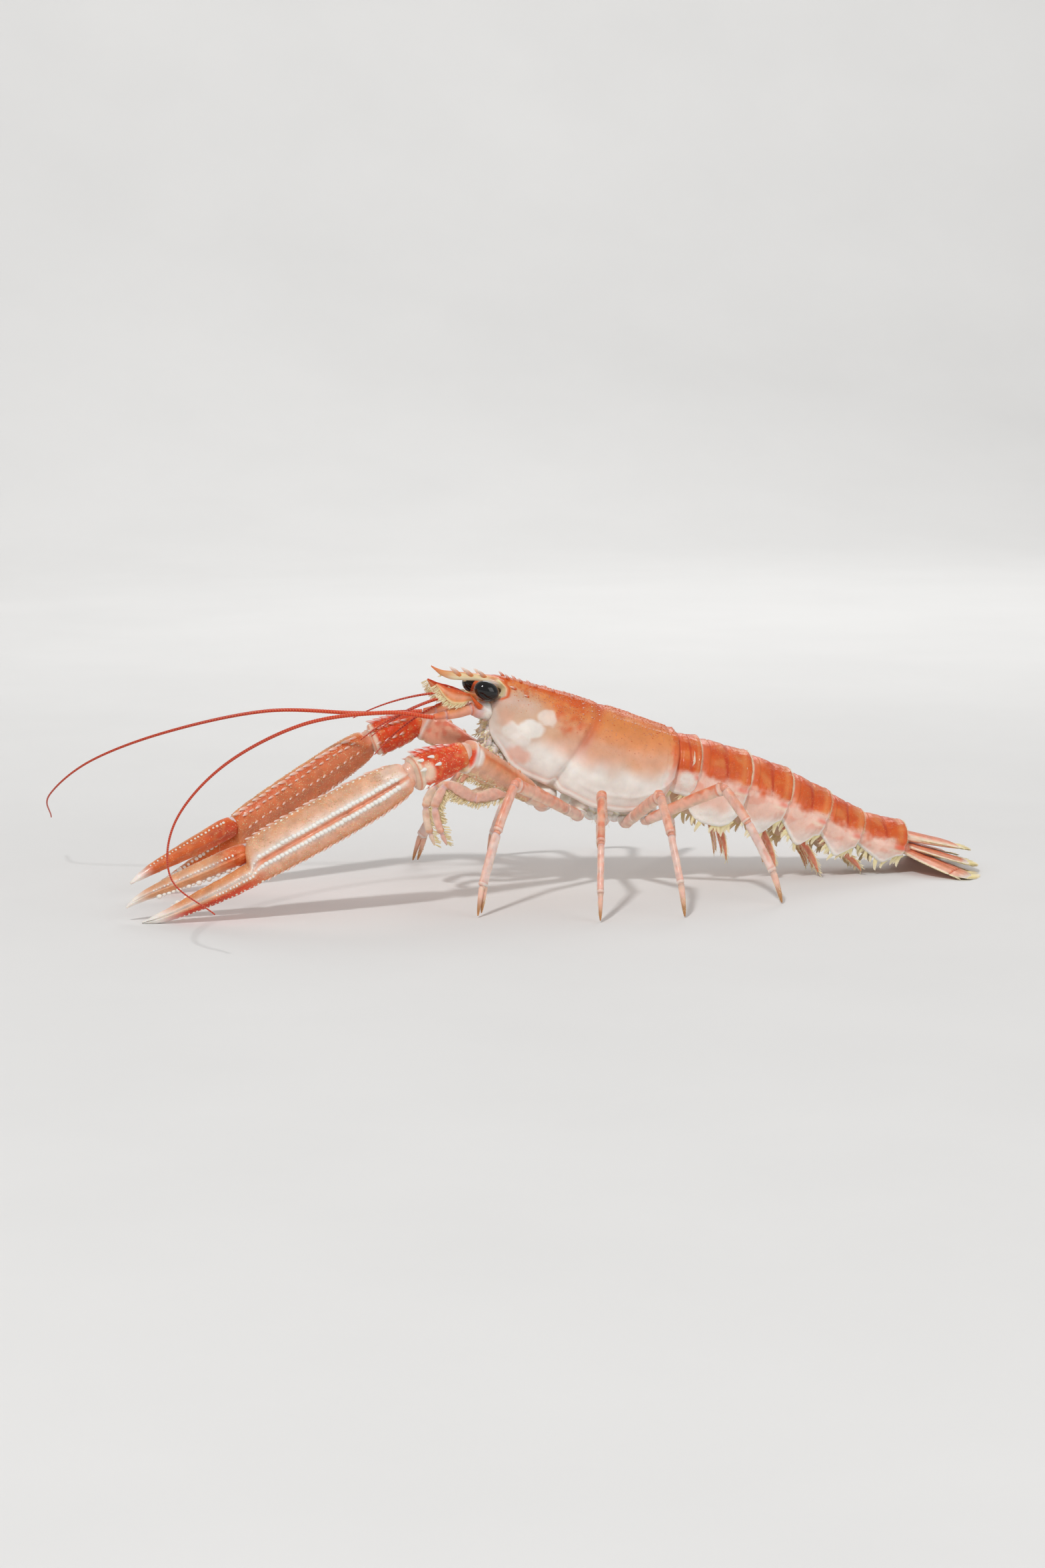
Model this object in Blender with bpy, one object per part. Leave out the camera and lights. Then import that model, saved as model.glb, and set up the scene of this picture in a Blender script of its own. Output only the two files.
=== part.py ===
"""A Norway lobster at life size, standing on the floor, built from its separate shell pieces.

The animal faces -X, its left side is towards -Y and +Z is up. Lengths are in millimetres here,
and a mesh is turned into metres when it is made. A limb is worked out with its second
coordinate pointing away from the middle of the body, and side (-1 left, +1 right) turns that
into Y.
"""

import math

import bmesh
import bpy
from mathutils import Vector

MM = 0.001
GAP = 0.3  # clearance between two pieces that meet
SIDES = {"left": -1, "right": 1}

# The orbit, where the carapace meets the eye, is the zero of the body frame: aft, out, up.
BODY_PITCH = 15.0  # the head is carried this many degrees up
ORBIT_X = -14.68  # puts the middle of the whole length at X = 0
ORBIT_Z = 77.0

# Carapace: aft of the orbit, top line, half width, lower margin, roof of the hollow beneath.
CARAPACE = (
    (-26.2, 2.7, 0.35, 2.2, 2.3),
    (-24.5, 2.3, 0.6, 1.3, 1.5),
    (-21.5, 2.0, 1.0, -0.1, 0.2),
    (-18.0, 2.4, 1.4, -0.6, -0.3),
    (-12.5, 3.2, 1.9, 0.3, 0.6),
    (-7.0, 3.9, 2.7, 1.2, 1.5),
    (-3.0, 4.4, 4.2, 1.2, 1.5),
    (-1.2, 4.7, 5.8, 0.6, 1.4),
    (-0.2, 4.8, 8.6, -6.0, 2.4),
    (1.0, 4.9, 9.8, -13.5, 1.6),
    (6.0, 5.0, 11.4, -21.5, -2.0),
    (14.0, 4.9, 13.4, -28.0, -10.0),
    (24.0, 4.6, 14.8, -30.0, -17.0),
    (34.0, 4.2, 15.6, -32.0, -20.0),
    (46.0, 3.2, 16.2, -34.4, -21.0),
    (57.0, 2.2, 16.2, -33.6, -21.0),
    (66.0, 1.2, 15.6, -30.0, -18.5),
    (70.0, 0.7, 15.0, -27.0, -16.5),
    (73.0, 0.0, 14.4, -22.0, -13.0),
)
ARCH_TURN = 130.0  # degrees from the top line to the lower margin
ARCH_POINTS = 15
SHELL_WALL = 1.3
GROOVE_AFT = 41.0  # cervical groove on the top line
GROOVE_LEAN = 13.0  # how far forward it has run at the margin
GROOVE_DEPTH = 1.3
GROOVE_WIDTH = 2.0
BEAK_SPINES = (-15.9, -10.9)
KEEL_SPINES = (3.0, 8.0, 14.0, 21.0, 29.0)

# Thorax floor, which carries the legs: aft, half width of the plate, height of the plate.
STERNUM = (
    (0.6, 3.6, -11.5),
    (2.0, 4.2, -16.0),
    (6.0, 4.6, -22.5),
    (14.0, 6.2, -27.0),
    (24.0, 8.2, -29.5),
    (34.0, 8.6, -31.0),
    (46.0, 8.8, -31.5),
    (57.0, 8.8, -31.0),
    (66.0, 8.6, -28.5),
    (70.0, 8.0, -26.0),
    (72.6, 7.0, -22.5),
)

# Limbs of the mouth: jaw palp, second maxilliped, and the long blade beside it, each by points
# (aft, out, up) with width and height.
MOUTH_LIMBS = (
    ((5.5, 3.0, -19.5, 3.6, 3.8), (1.2, 3.4, -22.6, 3.8, 4.0), (-1.6, 3.4, -26.2, 3.0, 3.2), (-3.8, 3.2, -29.2, 1.6, 1.8)),
    ((14.0, 3.6, -25.8, 3.2, 3.4), (11.5, 3.8, -30.6, 3.2, 3.6), (7.2, 3.9, -33.8, 2.8, 3.2), (2.6, 4.0, -34.4, 2.6, 3.0),
     (-1.6, 4.0, -32.9, 2.4, 2.8), (-3.6, 3.9, -34.2, 2.0, 2.2), (-4.7, 3.8, -37.2, 1.0, 1.1)),
    ((15.5, 5.2, -26.8, 1.6, 2.2), (13.0, 6.5, -31.0, 1.4, 2.8), (6.0, 6.9, -31.5, 1.2, 2.5), (-2.0, 7.1, -30.4, 1.0, 1.7),
     (-8.9, 7.3, -28.8, 0.5, 0.5)),
)

EYE_AT = (-5.6, 9.4, -1.4)
EYE_LENGTH = 9.8
EYE_HEIGHT = 7.4

# Walking legs, second to fifth pair: hip in the body frame, coxa radius, way out from straight
# ahead, rise of the merus, and the lengths of merus, carpus, propodus and dactyl.
LEGS = {
    2: dict(hip=(41.5, 9.0, -38.8), coxa=3.5, out=46, rise=20, lengths=(46, 20, 21, 11), claw=True),
    3: dict(hip=(51.6, 9.0, -38.6), coxa=3.5, out=70, rise=22, lengths=(42, 20, 20, 10), claw=True),
    4: dict(hip=(61.0, 8.9, -37.4), coxa=3.3, out=97, rise=22, lengths=(40, 17, 20, 12), claw=False),
    5: dict(hip=(68.6, 8.6, -34.8), coxa=3.0, out=126, rise=24, lengths=(38, 16, 21, 12), claw=False),
}
LEG_SWING = {"left": (-5, 3, -4, 3), "right": (4, -4, 4, -3)}  # each leg's own turn, front to back
LEG_FOLD = {"left": (2, -1, 1, 0), "right": (-2, 2, -1, 2)}  # and its own rise
LOWER_LEG_CURVE = (-9, 0, 13)  # how carpus, propodus and dactyl lean from the leg's mean fall

# Chelipeds: each side's way out and rise of merus, carpus and claw, and the size of its claw.
CHELIPED_HIP = (27.5, 9.6, -36.6)
CHELIPED_POSE = {
    "left": dict(merus=(33, 27), carpus=(12, -16), claw=(-4, 0), roll=33, open=7.0, size=1.0),
    "right": dict(merus=(30, 31), carpus=(9, -20), claw=(-9, 0), roll=30, open=9.0, size=0.96),
}
MERUS_LENGTH = 51.0
CARPUS_LENGTH = 22.0
CLAW_LENGTH = 111.0
PALM_LENGTH = 65.0
# Claw: along, middle of the section, half width and half thickness.
PALM = (
    (0.0, 0.0, 4.6, 4.2),
    (3.0, 0.0, 6.2, 5.2),
    (10.0, 0.0, 7.7, 5.8),
    (25.0, 0.0, 8.7, 6.0),
    (42.0, 0.0, 9.0, 6.0),
    (56.0, 0.0, 8.8, 5.7),
    (65.6, 0.3, 8.4, 5.2),
    (66.4, 4.3, 4.4, 4.9),
    (76.0, 4.0, 4.1, 4.3),
    (88.0, 3.3, 3.5, 3.5),
    (99.0, 2.4, 2.5, 2.6),
    (106.0, 1.3, 1.6, 1.7),
    (111.0, 0.0, 0.6, 0.7),
)
FINGER = (
    (0.0, 0.0, 3.7, 4.2),
    (4.0, 0.0, 3.9, 4.3),
    (14.0, 0.2, 3.7, 3.8),
    (26.0, 0.3, 3.1, 3.0),
    (36.0, 0.4, 2.2, 2.2),
    (43.0, 1.0, 1.3, 1.4),
    (47.0, 2.0, 0.5, 0.6),
)
BITE = (69.5, 73.0, 76.0, 79.0, 82.0, 85.0, 88.0, 91.0, 94.0, 97.0)  # every second one has a tooth
CLAW_OUTLINE = (  # share of half width (towards the fixed finger) and half thickness (outer face)
    (-1.0, 0.0),
    (-0.82, 0.62),
    (-0.35, 0.94),
    (0.16, 1.02),
    (0.36, 0.88),
    (0.58, 0.86),
    (0.86, 0.5),
    (1.0, 0.0),
    (0.84, -0.56),
    (0.45, -0.92),
    (-0.1, -0.9),
    (-0.5, -0.92),
    (-0.84, -0.58),
)
CLAW_RIDGES = {0: 1.5, 3: 0.8, 5: 0.8, 7: 0.9, 9: 0.8, 11: 0.9}  # outline point: spine height

# Tail: each somite's length, fall, half width, top, depth of its side flap, and flap outline.
TAIL_JOINT = (73.3, -14.0)
ROUND_FLAP = ((0.0, 0.8), (0.12, 0.93), (0.3, 1.0), (0.6, 1.0), (0.82, 0.9), (0.93, 0.72), (1.0, 0.5))
POINTED_FLAP = ((0.0, 0.5), (0.12, 0.6), (0.3, 0.8), (0.6, 1.0), (0.78, 0.96), (0.93, 0.66), (1.0, 0.5))
SMALL_FLAP = ((0.0, 1.0), (0.5, 1.0), (1.0, 1.0))
SOMITES = (
    dict(length=9.0, fall=14, half_width=13.6, top=13.6, flap=8.5, outline=SMALL_FLAP),
    dict(length=21.0, fall=17, half_width=15.4, top=14.0, flap=16.5, outline=ROUND_FLAP),
    dict(length=17.5, fall=21, half_width=15.0, top=13.2, flap=14.0, outline=POINTED_FLAP),
    dict(length=17.5, fall=25, half_width=14.2, top=12.2, flap=12.5, outline=POINTED_FLAP),
    dict(length=16.0, fall=24, half_width=13.2, top=10.8, flap=10.6, outline=POINTED_FLAP),
    dict(length=19.0, fall=16, half_width=11.8, top=8.8, flap=7.6, outline=POINTED_FLAP),
)
BELLY = 5.6  # depth of the belly skin below the tail's axis
FLAP_TURN = 125.0
FLAP_POINTS = 13

# Swimming legs under somites two to five: lean back from the tail's axis, and length.
PLEOPODS = {2: (56, 26), 3: (46, 25), 4: (33, 22), 5: (15, 18)}

# A blade of one: share of its length, width, thickness, and how far it bows forward.
PLEOPOD_BLADE = ((0.0, 1.4, 1.2, 0.0), (0.3, 3.4, 1.0, 0.7), (0.65, 3.0, 0.9, 0.6), (1.0, 0.6, 0.6, -0.6))

# Fan: plates by along, width and thickness; each one's height at the hinge, way out, and how much
# less it slopes than the lowest plate, whose edge lies on the floor.
TELSON_RISE = 4.5
TELSON_PLATE = ((0.0, 11.0, 3.4), (4.0, 13.4, 3.4), (13.0, 15.4, 2.8), (21.0, 15.6, 2.2), (25.5, 13.0, 1.4))
URO_PLATE = ((0.0, 3.6, 1.8), (3.0, 6.0, 1.9), (9.0, 10.4, 1.7), (17.0, 13.2, 1.4), (23.0, 12.4, 1.1), (27.5, 7.6, 0.8))
FAN = {
    "endopod": dict(lift=0.3, start=3.2, out=19, rise=2.2, width=0.92, length=1.0),
    "exopod": dict(lift=-1.9, start=5.6, out=41, rise=0.0, width=1.05, length=1.04),
}

# Feelers: points that each long one passes through, and the thickness along it.
PEDUNCLE = (  # aft, out, up, thickness
    (-0.3, 5.2, -8.7, 5.0),
    (-3.2, 5.7, -8.6, 6.7),
    (-6.2, 6.2, -8.9, 6.5),
    (-8.6, 6.6, -9.3, 4.6),
    (-10.0, 6.8, -9.9, 4.0),
    (-13.2, 7.2, -11.2, 4.6),
    (-17.0, 7.8, -13.0, 4.0),
    (-18.8, 8.0, -13.8, 3.1),
    (-22.4, 8.5, -15.3, 2.2),
)
SCALE = (  # aft, out, up, width, thickness
    (-9.2, 7.0, -5.4, 1.4, 1.0),
    (-11.4, 7.4, -5.5, 3.2, 1.1),
    (-14.2, 7.8, -5.9, 5.2, 1.1),
    (-17.2, 8.0, -6.1, 6.0, 1.0),
    (-20.2, 7.9, -5.3, 4.4, 0.9),
    (-22.8, 7.6, -4.0, 1.9, 0.7),
    (-24.4, 7.4, -3.3, 0.6, 0.5),
)
FLAGELLUM = {
    "left": ((-20, 4, 3), (-52, 13, 1), (-84, 30, -10), (-106, 52, -26), (-112, 76, -42), (-100, 94, -52)),
    "right": ((-22, 8, -1), (-56, 16, 0), (-92, 27, -8), (-119, 46, -21), (-132, 68, -37), (-128, 94, -50)),
}
FLAGELLUM_THICK = (0.85, 0.28)  # radius at the root and at the tip
FLAGELLUM_STEPS = 48

FINISHES = {
    "shell_orange": ((0.86, 0.42, 0.24, 1.0), 0.35),
    "claw_orange": ((0.85, 0.30, 0.13, 1.0), 0.32),
    "claw_beige": ((0.87, 0.60, 0.42, 1.0), 0.32),
    "leg_pink": ((0.89, 0.58, 0.46, 1.0), 0.33),
    "mouth_cream": ((0.91, 0.80, 0.68, 1.0), 0.4),
    "feeler_red": ((0.72, 0.16, 0.09, 1.0), 0.4),
    "fin_rose": ((0.86, 0.50, 0.38, 1.0), 0.34),
    "eye_black": ((0.01, 0.01, 0.012, 1.0), 0.08),
}


def read_row(rows, along):
    """The values of a table of rows at a distance along, read straight between two rows."""
    for low, high in zip(rows, rows[1:]):
        if along <= high[0]:
            break
    share = min(max((along - low[0]) / (high[0] - low[0]), 0.0), 1.0)
    return [a + (b - a) * share for a, b in zip(low[1:], high[1:])]


def at(aft, out, up):
    """A point of the body frame, in the part's own frame."""
    pitch = math.radians(BODY_PITCH)
    x = ORBIT_X + aft * math.cos(pitch) + up * math.sin(pitch)
    z = ORBIT_Z - aft * math.sin(pitch) + up * math.cos(pitch)
    return Vector((x, out, z))


def way(out, rise):
    """A direction: degrees out from straight ahead, and degrees above the horizontal."""
    out, rise = math.radians(out), math.radians(rise)
    return Vector((-math.cos(out) * math.cos(rise), math.sin(out) * math.cos(rise), math.sin(rise)))


def oval(width, height, sides, squareness=2.0):
    """A rounded outline as (across, above) pairs."""
    points = []
    for k in range(sides):
        angle = 2 * math.pi * k / sides
        c, s = math.cos(angle), math.sin(angle)
        x = width / 2 * math.copysign(abs(c) ** (2 / squareness), c)
        z = height / 2 * math.copysign(abs(s) ** (2 / squareness), s)
        points.append((x, z))
    return points


def sweep(stations, across, first=None, last=None):
    """Rings along (point, outline) stations, each in the plane that halves the bend there."""
    points = [point for point, _ in stations]
    steps = [(b - a).normalized() for a, b in zip(points, points[1:])]
    axes = [first or steps[0]]
    axes += [(a + b).normalized() for a, b in zip(steps, steps[1:])]
    axes.append(last or steps[-1])
    upright = 1 if across.cross(axes[0]).z >= 0 else -1
    rings = []
    for (point, outline), axis in zip(stations, axes):
        wide = (across - axis * across.dot(axis)).normalized()
        above = wide.cross(axis) * upright
        rings.append([point + wide * x + above * z for x, z in outline])
    return rings


def finish(name):
    """The material of that name, made when first asked for."""
    found = bpy.data.materials.get(name)
    if found:
        return found
    material = bpy.data.materials.new(name)
    material.use_nodes = True
    shader = material.node_tree.nodes["Principled BSDF"]
    colour, roughness = FINISHES[name]
    shader.inputs["Base Color"].default_value = colour
    shader.inputs["Roughness"].default_value = roughness
    shader.inputs["Metallic"].default_value = 0.0
    material.diffuse_color = colour
    return material


def skin(name, rings, side, material, floor=False):
    """An object closed over a run of rings, with its origin at the middle of the first ring."""
    rings = [[Vector((p.x, p.y * side, max(p.z, 0.0) if floor else p.z)) for p in r] for r in rings]
    origin = sum(rings[0], Vector()) / len(rings[0])
    bm = bmesh.new()
    rows = [[bm.verts.new((p - origin) * MM) for p in r] for r in rings]
    for low, high in zip(rows, rows[1:]):
        for k in range(len(low)):
            j = (k + 1) % len(low)
            bm.faces.new((low[k], low[j], high[j], high[k]))
    bm.faces.new(rows[0][::-1])
    bm.faces.new(rows[-1])
    bmesh.ops.recalc_face_normals(bm, faces=bm.faces)
    mesh = bpy.data.meshes.new(name)
    bm.to_mesh(mesh)
    bm.free()
    mesh.shade_smooth()
    mesh.set_sharp_from_angle(angle=math.radians(40))
    mesh.materials.append(finish(material))
    obj = bpy.data.objects.new(name, mesh)
    obj.location = origin * MM
    ANIMAL.objects.link(obj)
    return obj


def fuse(body, pieces):
    """Joins the pieces to the body as one closed mesh, and drops them."""
    bpy.context.view_layer.update()
    extra = bpy.data.collections.new(body.name + "_pieces")
    bpy.context.scene.collection.children.link(extra)
    for piece in pieces:
        ANIMAL.objects.unlink(piece)
        extra.objects.link(piece)
    join = body.modifiers.new("join", "BOOLEAN")
    join.operation = "UNION"
    join.operand_type = "COLLECTION"
    join.collection = extra
    join.solver = "EXACT"
    bpy.context.view_layer.update()
    joined = bpy.data.meshes.new_from_object(body.evaluated_get(bpy.context.evaluated_depsgraph_get()))
    body.modifiers.remove(join)
    body.data = keep_largest(joined)
    body.data.name = body.name
    for piece in pieces:
        bpy.data.objects.remove(piece)
    bpy.data.collections.remove(extra)
    return body


def keep_largest(mesh):
    """The mesh with only its largest closed surface left."""
    bm = bmesh.new()
    bm.from_mesh(mesh)
    islands, seen = [], set()
    for start in bm.faces:
        if start in seen:
            continue
        island, todo = [], [start]
        seen.add(start)
        while todo:
            face = todo.pop()
            island.append(face)
            for edge in face.edges:
                for other in edge.link_faces:
                    if other not in seen:
                        seen.add(other)
                        todo.append(other)
        islands.append(island)
    islands.sort(key=lambda faces: sum(f.calc_area() for f in faces))
    for island in islands[:-1]:
        bmesh.ops.delete(bm, geom=island, context="FACES")
    bmesh.ops.delete(bm, geom=[v for v in bm.verts if not v.link_faces], context="VERTS")
    bm.to_mesh(mesh)
    bm.free()
    return mesh


def arch(width, top, bottom, turn, points):
    """The outer line of a shell section from one margin over the top to the other."""
    line = []
    for k in range(points):
        angle = math.radians(turn * (1 - 2 * k / (points - 1)))
        drop = (1 - math.cos(angle)) / (1 - math.cos(math.radians(turn)))
        line.append((width * math.sin(angle), top - (top - bottom) * drop))
    return line


def groove(aft, out, up, top, margin):
    """How deep the cervical groove is at a point of the carapace."""
    share = min(max((top - up) / (top - margin), 0.0), 1.0)
    off = (aft - (GROOVE_AFT - GROOVE_LEAN * share)) / GROOVE_WIDTH
    return GROOVE_DEPTH * math.exp(-off * off)


def carapace_ring(aft):
    """One section of the carapace: its outer arch, then the roof of the hollow under it."""
    top, half, margin, roof = read_row(CARAPACE, aft)
    line = []
    for out, up in arch(half, top, margin, ARCH_TURN, ARCH_POINTS):
        shrink = 1 - groove(aft, out, up, top, margin) / half
        line.append((out * shrink, top + (up - top) * shrink - groove(aft, out, up, top, margin) * 0.5))
    edge = half * math.sin(math.radians(ARCH_TURN))
    inner = edge - min(SHELL_WALL, edge * 0.3)
    rise = roof - margin
    for share, lift in ((-1.0, 0.1), (-0.9, 0.7), (0.0, 1.0), (0.9, 0.7), (1.0, 0.1)):
        line.append((inner * share, margin + rise * lift))
    return [at(aft, out, up) for out, up in line]


def carapace():
    """The head shield with its beak, the spines of beak and keels, and the cervical groove."""
    stops = {row[0] for row in CARAPACE} | {28.0, 31.0, 37.0, 40.0, 43.0, 51.5}
    spines = {aft: (4, 10, 1.1) for aft in BEAK_SPINES} | {aft: (6, 8, 1.0) for aft in KEEL_SPINES}
    stops |= {aft + step for aft in spines for step in (-1.3, 0.0, 1.3)}
    rings = []
    for aft in sorted(stops):
        points = carapace_ring(aft)
        if aft in spines:
            low, high, height = spines[aft]
            middle = at(aft, 0.0, read_row(CARAPACE, aft)[0] - 6.0)
            for k in (low, high):
                away = (points[k] - middle).normalized()
                points[k] = points[k] + away * height + way(0, BODY_PITCH) * 1.1
        rings.append(points)
    return skin("carapace", rings, 1, "shell_orange")


def thorax_ring(aft, half, plate):
    """One section of the body under the carapace, which fills the hollow down to the sternum."""
    _, width, margin, roof = read_row(CARAPACE, aft)
    edge = width * math.sin(math.radians(ARCH_TURN))
    inner = edge - min(SHELL_WALL, edge * 0.3) - GAP
    shoulder = margin + (roof - margin) * 0.7 - GAP
    low = min(half, inner * 0.85)
    right = [(inner * 0.88, shoulder - 0.2), (inner * 0.84, max(plate + 3.0, margin)), (low, plate)]
    line = [(0.0, roof - GAP * 1.5)] + right + [(0.0, plate - 0.3)]
    line += [(-out, up) for out, up in reversed(right)]
    return [at(aft, out, up) for out, up in line]


def thorax():
    """Head floor, mouth and sternum as one piece, with the palps and blades of the mouth."""
    body = skin("thorax", [thorax_ring(*row) for row in STERNUM], 1, "mouth_cream")
    mouth = []
    for side in SIDES.values():
        for route in MOUTH_LIMBS:
            stations = [(at(*row[:3]), oval(row[3], row[4], 6)) for row in route]
            mouth.append(skin("palp", sweep(stations, Vector((0, 1, 0))), side, "mouth_cream"))
    fuse(body, mouth)


def eye(name, side):
    """A kidney shaped eye on its short stalk, set beside the root of the beak."""
    aft, out, up = EYE_AT
    stalk = [(at(-3.6, 3.2, -1.2), oval(2.8, 2.8, 8)), (at(-3.9, 6.0, -1.4), oval(4.2, 4.0, 8)),
             (at(-5.0, 8.2, -1.5), oval(5.0, 4.8, 8))]
    body = skin("eye_" + name, sweep(stalk, Vector((0, 0, 1))), side, "eye_black")
    bpy.ops.mesh.primitive_uv_sphere_add(segments=14, ring_count=9, radius=0.5)
    globe = bpy.context.object
    globe.data.materials.append(finish("eye_black"))
    globe.data.transform(globe.matrix_world)
    for vertex in globe.data.vertices:
        x, y, z = vertex.co
        kidney = 1.1 * (x * x - 0.12)
        vertex.co = ((x * EYE_LENGTH) * MM, (y * EYE_HEIGHT) * MM, (z * EYE_HEIGHT - kidney) * MM)
    centre = at(aft, out * side, up)
    globe.location = centre * MM
    globe.rotation_euler = (0, math.radians(BODY_PITCH + 12), 0)
    for collection in globe.users_collection:
        collection.objects.unlink(globe)
    ANIMAL.objects.link(globe)
    fuse(body, [globe])


def antennule(name, side):
    """The small feeler: three short joints and two thin lashes."""
    lean = 3 if name == "left" else -2
    root = at(-0.4, 2.5, -3.9)
    along = way(5, 8)
    joints = [(0.0, 2.4, 3.0), (5.5, 2.6, 3.0), (6.4, 2.0, 2.3), (10.0, 2.3, 2.5), (11.0, 1.8, 2.0), (15.0, 1.8, 2.0)]
    stalk = [(root + along * s, oval(w, h, 6)) for s, w, h in joints]
    body = skin("antennule_" + name, sweep(stalk, Vector((0, 1, 0))), side, "feeler_red")
    lashes = []
    for out, lift, fall in ((10, 0.35, -4 - lean), (3, -0.35, -15 - lean)):
        point = root + along * 13.6 + Vector((0, 0, lift))
        stations = []
        for k in range(9):
            thick = 1.15 - 0.075 * k
            stations.append((point.copy(), oval(thick, thick, 5)))
            point += way(out + k * 1.5, fall - k * 3.6) * 5.0
        lashes.append(skin("lash", sweep(stations, Vector((0, 1, 0))), side, "feeler_red"))
    fuse(body, lashes)


def antenna(name, side):
    """The long feeler: thick jointed base with its spine, flat scale, and lash in two lengths."""
    stations = [(at(*row[:3]), oval(row[3], row[3], 8)) for row in PEDUNCLE]
    ahead = way(0, BODY_PITCH)
    base = skin("antenna_base_" + name, sweep(stations, Vector((0, 1, 0)), first=ahead), side, "leg_pink")
    spine = [(at(-5.6, 8.4, -8.2), oval(2.6, 2.6, 5)), (at(-8.2, 9.8, -6.6), oval(1.5, 1.5, 5)),
             (at(-11.4, 10.9, -4.2), oval(0.4, 0.4, 5))]
    fuse(base, [skin("spine", sweep(spine, Vector((0, 1, 0))), side, "leg_pink")])
    tilt = Vector((0, 0.5, -0.86))
    leaf = [(at(*row[:3]), oval(row[3], row[4], 8)) for row in SCALE]
    skin("antenna_scale_" + name, sweep(leaf, tilt), side, "shell_orange")

    last, end = (at(*row[:3]) for row in PEDUNCLE[-2:])
    tip = end + (end - last).normalized() * (GAP + 0.6)
    marks = [tip] + [tip + Vector(step) for step in FLAGELLUM[name]]
    route = smooth_route(marks, FLAGELLUM_STEPS)
    half = FLAGELLUM_STEPS // 2
    middle = route[half]
    apart = (route[half + 1] - route[half - 1]).normalized() * GAP
    lash("antenna_lash_root_" + name, route[:half] + [middle - apart / 2], 0.0, 0.5, side)
    lash("antenna_lash_tip_" + name, [middle + apart / 2] + route[half + 1:], 0.5, 1.0, side)


def smooth_route(marks, steps):
    """Evenly spread points on a smooth curve through the marks."""
    ends = [marks[0] * 2 - marks[1]] + list(marks) + [marks[-1] * 2 - marks[-2]]
    dense = []
    for a, b, c, d in zip(ends, ends[1:], ends[2:], ends[3:]):
        for k in range(20):
            t = k / 20
            dense.append(0.5 * (2 * b + (c - a) * t + (2 * a - 5 * b + 4 * c - d) * t * t
                                + (3 * b - a - 3 * c + d) * t ** 3))
    dense.append(Vector(marks[-1]))
    reach = [0.0]
    for a, b in zip(dense, dense[1:]):
        reach.append(reach[-1] + (b - a).length)
    route, k = [], 0
    for step in range(steps + 1):
        goal = reach[-1] * step / steps
        while k < len(reach) - 2 and reach[k + 1] < goal:
            k += 1
        share = (goal - reach[k]) / (reach[k + 1] - reach[k])
        route.append(dense[k].lerp(dense[k + 1], min(share, 1.0)))
    return route


def lash(name, points, low, high, side):
    """A tapered curve along the points; low and high are their shares of the whole lash."""
    curve = bpy.data.curves.new(name, "CURVE")
    curve.dimensions = "3D"
    curve.bevel_depth = FLAGELLUM_THICK[0] * MM
    curve.bevel_resolution = 1
    curve.use_fill_caps = True
    spline = curve.splines.new("POLY")
    spline.points.add(len(points) - 1)
    for k, (point, target) in enumerate(zip(points, spline.points)):
        share = low + (high - low) * k / (len(points) - 1)
        target.co = (point.x * MM, point.y * side * MM, point.z * MM, 1.0)
        target.radius = 1 - share * (1 - FLAGELLUM_THICK[1] / FLAGELLUM_THICK[0])
    curve.materials.append(finish("feeler_red"))
    ANIMAL.objects.link(bpy.data.objects.new(name, curve))


def maxilliped(name, side):
    """The leg-like mouth limb, folded forward under the head and bent down."""
    lean = 2 if name == "left" else -3
    point = at(18.5, 4.9, -28.9)
    stations = [(point.copy(), oval(3.0, 3.2, 8))]
    point = at(18.0, 5.1, -31.8)
    stations.append((point.copy(), oval(3.8, 3.8, 8)))
    for length, out, rise, width, height in (
        (3.0, 3, -40, 4.2, 4.4), (7.0, 4, -15 + lean, 4.2, 5.0), (8.0, 4, -13 + lean, 3.6, 4.2),
        (2.0, 4, 0, 3.6, 4.0), (5.0, 4, 26 + lean, 3.8, 4.8), (5.5, 4, 28 + lean, 3.0, 3.6),
        (2.6, 2, -12, 3.0, 3.4), (5.0, 0, -58, 2.9, 3.6), (3.6, 0, -74, 2.6, 2.9),
        (5.5, 0, -98 - lean, 2.5, 2.9), (5.0, 0, -108 - lean, 2.0, 2.2), (4.5, 0, -112 - lean, 0.9, 1.0),
    ):
        point = point + way(out, rise) * length
        stations.append((point.copy(), oval(width, height, 8)))
    skin("maxilliped_" + name, sweep(stations, Vector((0, 1, 0))), side, "mouth_cream")


def spiked(rings, spikes):
    """Draws single points of the rings out into spines: (ring, point): (height, lean)."""
    for (row, column), (height, lean) in spikes.items():
        ringed = rings[row]
        middle = sum(ringed, Vector()) / len(ringed)
        ahead = (sum(rings[row + 1], Vector()) / len(ringed) - middle).normalized()
        away = (ringed[column] - middle).normalized()
        ringed[column] = ringed[column] + away * height + ahead * lean
    return rings


def coxa(points, aft, radius, side, material):
    """The hip joint: points and thicknesses down from the sternum plate at a distance aft."""
    front, rear = (at(a, 0.0, read_row(STERNUM, a)[1] - 0.3) for a in (aft - radius, aft + radius))
    middle = at(aft, 0.0, read_row(STERNUM, aft)[1] - 0.3)
    down = (rear - front).normalized().cross(Vector((0, 1, 0))).normalized()
    down = down if down.z < 0 else -down
    lowest = max((point - middle).dot(down) for point in (front, middle, rear))
    top = middle + down * (lowest + GAP)
    stations = [(Vector((top.x, points[0][0].y, top.z)), oval(radius * 1.5, radius * 1.7, 8))]
    stations += [(point, oval(radius * wide, radius * wide * 1.06, 8)) for point, wide in points[1:]]
    return skin("coxa", sweep(stations, Vector((1, 0, 0)), first=down), side, material)


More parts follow.
